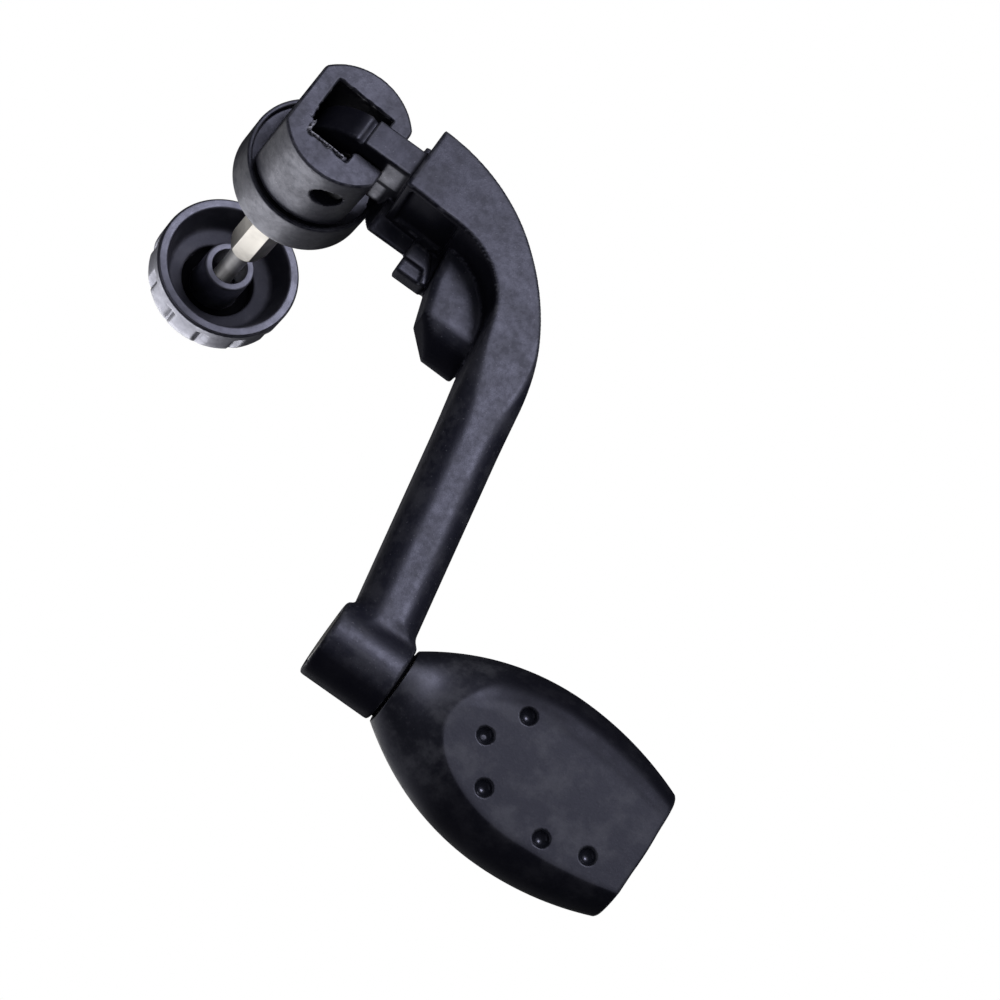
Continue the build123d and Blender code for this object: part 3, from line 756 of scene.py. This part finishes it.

# %% [markdown]
# The inside of the socket and of the pin's hole gets painted shade: plain black in place of the gloss. The
# burr on the ledge is both an edge and torn.

# %% Finish of the hub
hx, hy, hz = points.T
on_ledge = hz > 20.5
on_burr = on_ledge & (burr_line(hx, hy) < 0.45)
in_socket = (np.maximum(np.abs(hx), np.abs(hy)) < 4.95) & (hz < 20.7) & ~on_burr
in_bore = (np.hypot(hx - pivot_x, hz - pivot_z) < 2.3) & (np.abs(hy) < 8.2)
# The burr's edge number is raised, and its points are painted pale in thin flecks.
paint(hub_piece, "edge", curvature(hub, points, hub_corner, HUB_PITCH) + 2.5 * on_burr)
paint(hub_piece, "torn", 1.0 * (on_ledge & (np.abs(burr_line(hx, hy)) < 0.2)))
# Painted shade in the socket and in the pin's hole.
paint(hub_piece, "painted_shade", 1.0 * (in_socket | in_bore))
hub_piece.data.materials.append(nylon)
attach(hub_piece, "hub")
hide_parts("hub_body")
print("dull points:", int((in_socket | in_bore).sum()), "and points on the burr:", int(on_burr.sum()))

# %% [markdown]
# ## Turned shapes
# The collar, the cap, the shaft and the screw are round about the crank axis: a profile of radius and
# depth, carried once round the axis. Its corners are first replaced by small arcs, because no edge of
# a real moulding or a turned part is sharp.

# %% Profiles
def soften(corners, r, steps=5):
    """A closed profile with each corner replaced by a curve that starts and ends r before and after it
    (less on short sides): a quadratic Bezier curve whose middle point is the corner."""
    corners = np.array(corners, float)
    before, after = np.roll(corners, 1, 0), np.roll(corners, -1, 0)
    radius = np.broadcast_to(np.asarray(r, float), len(corners))[:, None]
    length_in = np.linalg.norm(corners - before, axis=1, keepdims=True)
    length_out = np.linalg.norm(after - corners, axis=1, keepdims=True)
    start = corners + (before - corners) * np.minimum(radius / length_in, 0.45)
    end = corners + (after - corners) * np.minimum(radius / length_out, 0.45)
    t = np.linspace(0, 1, steps)[None, :, None]
    curve = start[:, None] * (1 - t) ** 2 + 2 * corners[:, None] * t * (1 - t) + end[:, None] * t ** 2
    return curve.reshape(-1, 2)


def resample(profile, spacing, closed=True):
    """Points spaced about evenly along a profile, its own corners kept."""
    ends = np.roll(profile, -1, 0) if closed else profile[1:]
    parts = []
    for a, b in zip(profile, ends):
        n = max(1, int(np.ceil(np.hypot(*(b - a)) / spacing)))
        parts.append(a + (b - a) * (np.arange(n) / n)[:, None])
    return np.vstack(parts if closed else parts + [profile[-1:]])


print("a softened square has", len(soften([(0, 0), (2, 0), (2, 2), (0, 2)], 0.5)), "points")

# %% [markdown]
# The turning itself is one product: the radius times the cosine and the sine of the angle. A shape may
# change the radius by its angle, which gives lobes, flats and a thread.

# %% Turning
def turn(profile, columns, shape=None):
    """Carries a closed profile of (radius, depth) once round the Y axis. The shape may change each radius
    by its angle and depth."""
    angle = np.arange(columns) * 2 * math.pi / columns
    radius, depth = profile[:, :1], profile[:, 1:]
    if shape is not None:
        radius = shape(radius, angle[None, :], depth)
    radius, depth = np.broadcast_arrays(radius + 0 * angle, depth + 0 * angle)
    points = np.stack([radius * np.cos(angle), depth, radius * np.sin(angle)], -1).reshape(-1, 3) * MM
    hollow = bool(profile[0, 0] > 0)
    return points, grid_faces(len(profile), columns, closed_rows=hollow, closed_columns=True)


print("a test ring has", len(turn(np.array([(1, 0), (2, 0), (2, 1), (1, 1)]), 8)[1]), "faces")

# %% [markdown]
# The wear of a turned edge comes from how fast its profile turns. And every turned piece is handed over in
# the same way: it gets its finish, rides on its body and stands in for its solid.

# %% Wear and handing over
def profile_bend(profile, columns):
    """How fast the profile turns at each point, 1/mm and positive on outer corners, for the worn edges."""
    before, after = profile - np.roll(profile, 1, 0), np.roll(profile, -1, 0) - profile
    cross = before[:, 0] * after[:, 1] - before[:, 1] * after[:, 0]
    turned = np.arctan2(cross, (before * after).sum(1))
    length = (np.hypot(*before.T) + np.hypot(*after.T)) / 2
    return np.repeat(turned / np.maximum(length, 0.05), columns)


def dress(piece, material, body, node):
    """Gives a new piece its finish and puts it in the place of its solid."""
    piece.data.materials.append(material)
    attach(piece, body)
    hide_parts(node)


print("helpers for turned pieces: profile_bend and dress")

# %% [markdown]
# ### The collar
# The collar is a plain ring under the hub. Its rim stands round the hub's foot like the wall of a
# dish, which leaves the dark groove that is seen between the two.

# %% Collar
collar_corners = [(7.3, 0), (9.6, 0), (10.0, -0.4), (10.0, -7.4), (9.3, -7.4), (9.3, -6.3), (7.3, -6.3)]
collar_profile = resample(soften(collar_corners, [0.1, 0.3, 0.3, 0.3, 0.25, 0.25, 0.1]), 0.3)
collar = mesh_piece("moulded_collar", *turn(collar_profile, 256))
paint(collar, "edge", -profile_bend(collar_profile, 256))
dress(collar, nylon, "hub", "hub_collar")

# %% [markdown]
# ### The cap
# The cap is a moulded nut: a leaning wall, a coned shelf and a deep well round a middle tube, and outside
# twelve lobes under a plain rim, for the fingers. The lobes fade out where the closed end rounds off.
# The notches between them are the shape: the radius may not pass a V that stands at every twelfth.

# %% Outside of the cap
LOBES = 12
CAP_R = 11.14


def dome(z, radius=CAP_R, depth=9.6, rounding=5.2):
    """Outer radius at a depth below the rim: straight, then a quarter circle to the closed end."""
    sink = np.clip(z - (depth - rounding), 0, rounding)
    return radius - rounding + np.sqrt(rounding ** 2 - sink ** 2)


def notched(radius, angle, depth):
    """Radius with V notches between the lobes, from below the plain ring to the dome."""
    pitch_angle = 2 * math.pi / LOBES
    from_notch = np.abs(angle % pitch_angle - pitch_angle / 2) * 11.15
    opened = smooth((depth - CAP_RIM - 1.6) / 0.35)
    limit = 10.25 + 0.95 * from_notch + (1 - opened) * 3
    return np.where(radius > 9.95, soft_join(radius, limit, 0.25), radius)


print("radius of the cap at its rim and its end:", dome(np.array([0.4, 9.6])).round(2), "mm")

# %% [markdown]
# The profile runs up the inside of the cap, from the hole in its floor over the tube and the shelf to the
# rim, and back down the outside.

# %% Cap
dome_z = np.concatenate([np.linspace(0.4, 4.3, 20), 4.4 + 5.2 * np.sin(np.linspace(0, math.pi / 2, 28))])
outside = np.stack([dome(dome_z), dome_z], -1)
inside = [(4.85, 9.6), (4.85, 9.0), (3.1, 9.0), (3.1, 7.8), (1.7, 7.8), (1.7, 6.8), (2.75, 6.8), (2.75, -0.3),
          (3.9, -0.3), (3.9, 8.0), (5.7, 8.0), (5.7, 5.8), (8.2, 4.7), (9.6, 0), (11.0, 0)]
radii = [0.1, 0.1, 0.1, 0.1, 0.1, 0.1, 0.1, 0.15, 0.35, 0.5, 0.3, 0.25, 0.5, 0.3, 0.25]
cap_profile = np.vstack([soften(inside, radii), outside]) + [0, CAP_RIM]
cap_profile = resample(cap_profile, 0.3)
points, faces = turn(cap_profile, 24 * LOBES, notched)
cap = mesh_piece("moulded_cap", points, faces)
paint(cap, "edge", -profile_bend(cap_profile, 24 * LOBES))
dress(cap, cap_nylon, "cap", "cap_shell")

# %% [markdown]
# ### The drive shaft
# The shaft is a six-sided bar whose end is turned to a blunt bullet, so each flat ends in an arc. Its
# radius is the smaller of two: that of the hexagon at this angle, and that of the bullet at this depth.
# In the hub it has a square head, and down its middle runs the hole for the cap's screw.

# %% Shaft
def polygon_radius(angle, half_flats, sides):
    """Radius of a regular polygon at an angle: half the width over flats, over the cosine from the flat."""
    sector = 2 * math.pi / sides
    from_flat = (angle + sector / 2) % sector - sector / 2
    return half_flats / np.cos(from_flat)


def six_sided(radius, angle, depth):
    """The bar where the profile gives the bar, the bullet where that is smaller, the square head above."""
    flats = polygon_radius(angle - math.pi / 2, HALF_FLATS, 6)
    square = np.minimum(polygon_radius(angle, HALF_HEAD, 4), 4.6)
    is_head = depth < HEAD_AT + 0.05
    bar = soft_join(radius, flats, 0.08)
    return np.where(radius < HOLE_R + 0.06, radius, np.where(is_head, np.minimum(square, radius), bar))


HALF_FLATS, HALF_HEAD, HEAD_AT, HOLE_R = 2.65, 3.6, -6.2, 1.64
SHAFT_END, BALL_R, TIP_R, HOLE_END = 24.0, 3.1, 1.9, 8.1
ball_z = np.linspace(SHAFT_END, SHAFT_END - math.sqrt(BALL_R ** 2 - TIP_R ** 2), 30)
ball = np.stack([np.sqrt(BALL_R ** 2 - (ball_z - ball_z[-1]) ** 2), ball_z], -1)
shaft_profile = np.vstack([[(0, HOLE_END), (HOLE_R, HOLE_END), (HOLE_R, SHAFT_END)], ball,
                           [(BALL_R, HEAD_AT), (5.2, HEAD_AT), (5.2, -7.9), (0, -7.9)]])
points, faces = turn(resample(shaft_profile, 0.35, closed=False), 240, six_sided)
shaft = mesh_piece("polished_shaft", points, faces)
weld(shaft)
dress(shaft, plated, "hub", "drive_shaft")

# %% [markdown]
# ### The cap's screw
# The screw hangs in the cap by its head and runs in the shaft's hole. Its shank is plain and satin where
# it shows, and threaded where it is hidden. The thread is a groove whose depth depends on the depth along
# the screw less one pitch for each turn of the angle, which winds it round as a helix.

# %% Cap screw
SCREW_R, THREAD_PITCH, THREAD_DEPTH = 1.6, 0.7, 0.36


def threaded(radius, angle, depth):
    """A V thread on the hidden part: the radius rises and falls once per turn and pitch."""
    phase = (depth / THREAD_PITCH - angle / (2 * math.pi)) % 1
    groove = THREAD_DEPTH * (1 - np.abs(2 * phase - 1)) * smooth((SHAFT_END - 0.6 - depth) / 0.8)
    return np.where(np.abs(radius - SCREW_R) < 0.01, radius - groove, radius)


screw_low, screw_high = (corner.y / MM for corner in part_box("cap_screw"))
screw_corners = [(0, screw_high), (3.0, screw_high), (3.0, screw_high - 1.2), (SCREW_R, screw_high - 1.2),
                 (SCREW_R, screw_low + 0.4), (1.2, screw_low), (0, screw_low)]
screw_profile = resample(np.array(screw_corners), 0.12, closed=False)
screw = mesh_piece("polished_cap_screw", *turn(screw_profile, 64, threaded))
weld(screw)
dress(screw, satin, "cap", "cap_screw")

# %% [markdown]
# ## The paddle knob
# The knob starts round at the neck, swells to a flat paddle and ends blunt. Each face is a flat plateau
# with a broad sloping border, and five round dimples. The surface is a section carried along the axle,
# so the first thing to know is how wide the knob is at each station.

# %% Width of the paddle
KNOB_LEN, KNOB_GAP, HALF_T, END_ROUND = 38.0, 0.4, 5.4, 0.6
WIDEST_AT, HALF_W, END_HALF_W = 21.5, 12.6, 9.5
LAST = KNOB_LEN - END_ROUND


def arc_radius(along, across):
    """Radius of an arc that falls this far across over this far along: (along squared + across squared)
    over twice across."""
    return (along ** 2 + across ** 2) / (2 * across)


def half_width(u):
    """Two arcs that share a tangent at the widest station, one to the neck and one to the end."""
    to_neck = arc_radius(WIDEST_AT - KNOB_GAP, HALF_W - HALF_T)
    to_end = arc_radius(LAST - WIDEST_AT, HALF_W - END_HALF_W)
    r = np.where(u < WIDEST_AT, to_neck, to_end)
    return HALF_W - r + np.sqrt(r ** 2 - (u - WIDEST_AT) ** 2)


print("the knob is", 2 * half_width(np.array([KNOB_GAP, WIDEST_AT, LAST])).round(1), "mm wide")

# %% [markdown]
# The section is an ellipse that grows past the knob's thickness and is cut off flat there. So near the
# neck it is a plain round with a slight waist, and further on the flat begins with a round end and widens
# by itself. Two of the four borders of the flats are crisp and two are soft: the soft ones lie where the
# fingers close round the knob.

# %% Section of the paddle
FLAT_START, RISE, WAIST, KNEE = 7.6, 2.1, 0.64, 0.6


def paddle_section(u, s, soft):
    """A quarter of the section's outline: s runs from 0 (middle of the face) to 1 (middle of the side).
    The height is that of an ellipse, softly limited to the knob's half thickness. At s = KNEE lies the
    border of the flat, which is blurred over about "soft" mm."""
    wide = half_width(u)
    risen = np.clip((u - FLAT_START) / 15, 0, 1)
    waist = WAIST * np.sin(math.pi * np.clip((u - KNOB_GAP) / (FLAT_START - KNOB_GAP), 0, 1))
    high = HALF_T - waist + RISE * risen * (2 - risen)
    border = np.maximum(np.arccos(np.clip(HALF_T / high, -1, 1)), 0.3)
    beyond = border + (math.pi / 2 - border) * (s - KNEE) / (1 - KNEE)
    angle = np.where(s < KNEE, border * s / KNEE, beyond)
    blur = 0.08 + soft * smooth(s / 0.5) * smooth((u - FLAT_START) / 4)
    return wide * np.sin(angle), soft_join(high * np.cos(angle), HALF_T + 0 * s, blur)


print("middle of a face, edge of the flat:", paddle_section(20.0, np.array([0, KNEE]), 0.0)[0].round(2), "mm")

# %% [markdown]
# Four such quarters make a whole ring, and 246 of these rings make the knob between its two ends.

# %% Rings of the knob
def whole_ring(soft_quarter, crisp_quarter, signs):
    """Four quarters of a section, end to end, with the sign that each has: the soft ones face each other."""
    a, b, c, d = signs
    return np.hstack([a * soft_quarter, b * crisp_quarter[:, -2::-1], c * soft_quarter[:, 1:],
                      d * crisp_quarter[:, -2:0:-1]])


u = np.concatenate([[KNOB_GAP], np.linspace(KNOB_GAP + 0.15, LAST, 245)])[:, None]
s = np.linspace(0, 1, 84)[None, :]
y_half, z_crisp = paddle_section(u, s, 0.0)
z_soft = paddle_section(u, s, 0.85)[1]
ring_y = whole_ring(y_half, y_half, (1, 1, -1, -1))
ring_z = whole_ring(z_soft, z_crisp, (1, -1, -1, 1))
print("sections:", ring_y.shape)

# %% [markdown]
# The dimples are bowls that are sunk into both faces. Each is a function of the distance from its middle,
# steep at the rim and round at the bottom.

# %% Dimples
DIMPLES = [(12.9, 0.4), (16.1, 5.6), (16.4, -5.2), (25.9, -6.3), (32.0, -4.7)]
PIT_R, PIT_DEPTH = 1.15, 0.9
pits = np.zeros(ring_y.shape)
for at_u, at_y in DIMPLES:
    for face in (1, -1):
        away = np.hypot(u - at_u, ring_y - face * at_y)
        bowl = np.clip(1 - (away / PIT_R) ** 2, 0, 1) ** 0.6 * (face * ring_z > 3.2)
        ring_z = ring_z - face * PIT_DEPTH * bowl
        pits = np.maximum(pits, smooth(bowl / 0.3))
rings = np.stack([np.broadcast_to(u, ring_y.shape), ring_y, ring_z], -1)
print("deepest point of a dimple:", round(float(PIT_DEPTH * bowl.max()), 2), "mm")

# %% [markdown]
# The ends are more rings. Each blends the last section with a round hole: a little at first, with a push
# along the axle, which rounds the edge, and then all the way to the hole, and a last ring goes down into
# the bore. The end plug and the neck's bush sit in these two bores.

# %% Ends of the knob
PLUG_R, NECK_R = 5.1, 4.3


def end_cap(ring, scales, pushes, hole_r):
    """Rings that shrink from the last section to a round hole of radius hole_r, pushed along the axle."""
    angle = np.arctan2(ring[:, 1], ring[:, 2])
    hole = np.stack([0 * angle, hole_r * np.sin(angle), hole_r * np.cos(angle)], -1)
    flat_ring = ring * [0, 1, 1]
    made = []
    for scale, push in zip(scales, pushes):
        blend = flat_ring * scale + hole * (1 - scale)
        made.append(blend + [ring[0, 0] + push, 0, 0])
    return np.array(made)


far_end = end_cap(rings[-1], [0.975, 0.93, 0.8, 0.55, 0.3, 0.0], [0.25, 0.42, 0.5, 0.55, 0.6, 0.6], PLUG_R)
bore_end = end_cap(far_end[-1], [1.0], [-1.75], PLUG_R)
neck_end = end_cap(rings[0], [0.97, 0.8, 0.5, 0.0], [0.0, 0.0, 0.0, 0.0], NECK_R)
neck_bore = end_cap(neck_end[-1], [1.0], [1.0], NECK_R)
knob_rings = np.concatenate([neck_bore[::-1], neck_end[::-1], rings, far_end, bore_end])
print("rings of the knob:", len(knob_rings))

# %% [markdown]
# The rings close in both directions, which makes one skin without seams. The dimples are painted glossy
# and kept dark as painted shade, and the flanks get painted shade, broader along the soft borders.

# %% Mesh and finish of the knob
def on_rings(values):
    """Values for the middle rings, and 0 on the rings of the two ends."""
    padded = np.zeros(knob_rings.shape[:2])
    first = len(neck_bore) + len(neck_end)
    padded[first:first + len(rings)] = values
    return padded


rows, columns = knob_rings.shape[:2]
knob_faces = grid_faces(rows, columns, closed_rows=True, closed_columns=True)
knob = mesh_piece("paddle_knob", knob_to_frame(knob_rings.reshape(-1, 3)), knob_faces[:, ::-1])
past_neck = smooth((u - 7) / 8)
crisp_flank, soft_flank = smooth((s - 0.5) / 0.14) * past_neck, smooth((s - 0.36) / 0.2) * past_neck
# Painted shade in the dimples, which also makes them glossy.
paint(knob, "shaded_glossy_pit", on_rings(pits))
# Painted shade on the flanks of the knob past the neck.
paint(knob, "painted_shade", 0.85 * on_rings(whole_ring(soft_flank, crisp_flank, (1, 1, 1, 1))))
dress(knob, knob_plastic, "knob", "knob_body")

# %% [markdown]
# ## The small hidden pieces
# Washers, bushes, the axle and its screw keep the shape that the frame gives them. They only need the
# right finish, which goes into the material slot of each. The solids that a finer piece stands for get
# theirs too.

# %% Finish the pieces that stay
finishes = {
    "pivot_pin": blackened, "pivot_shims": bare, "knob_axle": bare, "knob_keeper_washer": bare,
    "knob_keeper_screw": bare, "knob_thrust_washer": shade_black_acetal, "knob_inner_bush": acetal,
    "knob_outer_bush": acetal, "knob_end_plug": knob_plastic, "cap_thrust_ring": shade_black_acetal,
    "cap_end_disc": nylon, "crank_arm": nylon, "hub_body": nylon, "hub_collar": nylon,
    "cap_shell": nylon, "knob_body": knob_plastic, "drive_shaft": plated, "cap_screw": plated,
}
for name, material in finishes.items():
    node = frame["nodes"][name]
    node.data.materials.clear()
    node.data.materials.append(material)
print("finished", len(finishes), "pieces")

# %% [markdown]
# ## Studio
# Black plastic has almost no colour of its own: what is seen on it is the room, mirrored softly. So the
# room is drawn with care. The floor is plain and pale. It lies well below the handle, and a mirrored ray
# sees it white only round one place at the back, as a lit backdrop, and dark elsewhere.

# %% Floor
def floor_at(height, half, glow):
    """A pale floor. A mirrored ray sees it white near the glow's place (x, y) and dark away from it."""
    corners = [(-half, -half), (half, -half), (half, half), (-half, half)]
    points = np.array([(*corner, height) for corner in corners])
    floor = mesh_piece("studio_floor", points, np.array([[0, 1, 2, 3]]))
    material, shader, place = new_finish("pale floor", Roughness=0.9, Emission_Strength=1.0)
    grain = noise(place, 30.0, 4.0)
    measure = {"operation": "DISTANCE"}
    away = place.node("ShaderNodeVectorMath", measure, out=1, i0=place, i1=(*glow, height))
    mirrored = add_node(material, "ShaderNodeLightPath", out=3)
    lit = mirrored * away.step(0.60, 1.0, 0.9, 0.0)
    feed(shader, Emission_Color=mix_colours(lit, (0, 0, 0, 1), (1, 1, 1, 1)))
    pale = mix_colours(grain, (0.80, 0.80, 0.80, 1), (0.84, 0.84, 0.84, 1))
    feed(shader, Base_Color=mix_colours(mirrored, pale, (0.06, 0.06, 0.06, 1)))
    floor.data.materials.append(material)


floor_at(height=-0.26, half=3.0, glow=(-0.5, 0.7))

# %% [markdown]
# ## Camera
# The camera stands low in front of the hub and looks up at it along the crank axis, rolled to the side.
# It is placed by its own place and three angles: the direction of view, its height and the roll. The
# same three directions, right, up and forward, later say where the lamps stand.

# %% Camera
EYE = np.array((-0.0103, -0.36817, -0.21442))


def view_axes(azimuth, elevation, roll):
    """Right, up and forward of a camera: azimuth 0 looks along +Y, a negative elevation looks up, and
    the roll turns the picture about the line of sight."""
    a, e, r = (math.radians(angle) for angle in (azimuth, elevation, roll))
    forward = np.array([-math.sin(a) * math.cos(e), math.cos(a) * math.cos(e), -math.sin(e)])
    level = np.cross(forward, (0, 0, 1))
    level /= np.linalg.norm(level)
    upright = np.cross(level, forward)
    right = math.cos(r) * level + math.sin(r) * upright
    return right, np.cross(right, forward), forward


camera_data = bpy.data.cameras.new("camera")
camera_data.lens, camera_data.sensor_width = 108.0, 36.0
camera_data.clip_start, camera_data.clip_end = 0.01, 50.0
camera = bpy.data.objects.new("camera", camera_data)
bpy.context.scene.collection.objects.link(camera)
right, up, forward = view_axes(-9.12, -27.55, 33.67)
turn_matrix = Matrix(np.stack([right, up, -forward], 1).tolist()).to_4x4()
camera.matrix_world = Matrix.Translation(EYE.tolist()) @ turn_matrix
bpy.context.scene.camera = camera
print("camera at", EYE)

# %% [markdown]
# ## Lamps
# A broad soft key lamp stands at the upper right in front, where the flat tops mirror it. A studio also
# has small lamps behind flags, so that each lights one thing. Here one lights the sides of the hub from
# the lower left at the back, two light the cap's wall and its inside, and a weak one the shaft.

# %% A lamp behind a flag
def soft_lamp(name, place, aim, size, watts, pieces=()):
    """A round soft box that looks at a point. If pieces are named, it lights them alone, as a flag would
    have it."""
    lamp = bpy.data.lights.new(name, "AREA")
    lamp.shape, lamp.size, lamp.energy = "DISK", size, watts
    holder = bpy.data.objects.new(name, lamp)
    bpy.context.scene.collection.objects.link(holder)
    holder.location = place
    way = np.array(aim, float) - np.array(place, float)
    holder.rotation_euler = Vector(way).to_track_quat("-Z", "Y").to_euler()
    if pieces:
        flagged = bpy.data.collections.new("in the light of the " + name)
        for piece in pieces:
            flagged.objects.link(piece)
        holder.light_linking.receiver_collection = flagged
        holder.light_linking.blocker_collection = flagged


print("lamps so far:", len(bpy.data.lights))

# %% [markdown]
# Each lamp stands in one of three directions from what it lights. The key lamp and the cap's front lamp
# stand to the right of it, above it and nearer to the camera. The other three lamps stand to the left of
# what they light, below it and behind it.

# %% Five lamps
FAR, NEAR = 1.2, 0.4      # metres from what a lamp lights
key_way = 0.62 * right + 0.51 * up - 0.60 * forward
back_way = -0.67 * right - 0.51 * up + 0.53 * forward
top_way = 0.67 * right + 0.51 * up - 0.53 * forward
middle, hub_at, cap_at = np.array([(0.035, 0.0, -0.03), (0.0, -0.008, 0.0), (0.0, 0.037, 0.0)])
soft_lamp("key lamp", middle + FAR * key_way, middle, 0.5, 6.6)
soft_lamp("hub lamp", hub_at + NEAR * back_way, hub_at, 0.3, 0.85, [hub_piece, collar, arm])
soft_lamp("cap back lamp", cap_at + NEAR * back_way, cap_at, 0.45, 3.0, [cap])
soft_lamp("cap front lamp", cap_at + NEAR * top_way, cap_at, 0.25, 0.6, [cap])
soft_lamp("shaft lamp", cap_at + NEAR * back_way, cap_at, 0.3, 0.17, [screw, shaft])
print("lamps:", [lamp.name for lamp in bpy.data.lights])

# %% [markdown]
# ## Sky
# The camera sees a plain white sky. All other rays see a dim room with two bright parts in it: the soft
# box where the key lamp stands and the backdrop across from it. The rest is nearly dark, which leaves
# the rounded flanks of the mouldings almost black.

# %% Sky
CAMERA_RAY, TRANSMISSION_RAY = 0, 6      # outputs of the Light Path node
world = bpy.data.worlds.new("studio sky")
bpy.context.scene.world = world
world.use_nodes = True
sky = world.node_tree.nodes["Background"]
way = add_node(world, "ShaderNodeTexCoord", out=0)


def lit_part(centre, outer, inner):
    """1 in the part of the sky round a direction and 0 away from it, by the cosine of the angle between."""
    settings = {"operation": "DOT_PRODUCT"}
    return way.node("ShaderNodeVectorMath", settings, out=1, i0=way, i1=tuple(centre)).step(outer, inner)


soft_box = lit_part(key_way, 0.74, 0.96)
backdrop = lit_part(back_way, 0.62, 0.88)
room = soft_box * 0.8 + backdrop * 1.2 + 0.03
seen = [add_node(world, "ShaderNodeLightPath", out=kind) for kind in (CAMERA_RAY, TRANSMISSION_RAY)]
seen = (seen[0] + seen[1]).clamp()
strength = seen + (1 - seen) * room
world.node_tree.links.new(strength.socket, sky.inputs["Strength"])
sky.inputs["Color"].default_value = (1, 1, 1, 1)
bpy.context.scene.view_settings.view_transform = "Standard"
print("sky nodes:", len(world.node_tree.nodes))
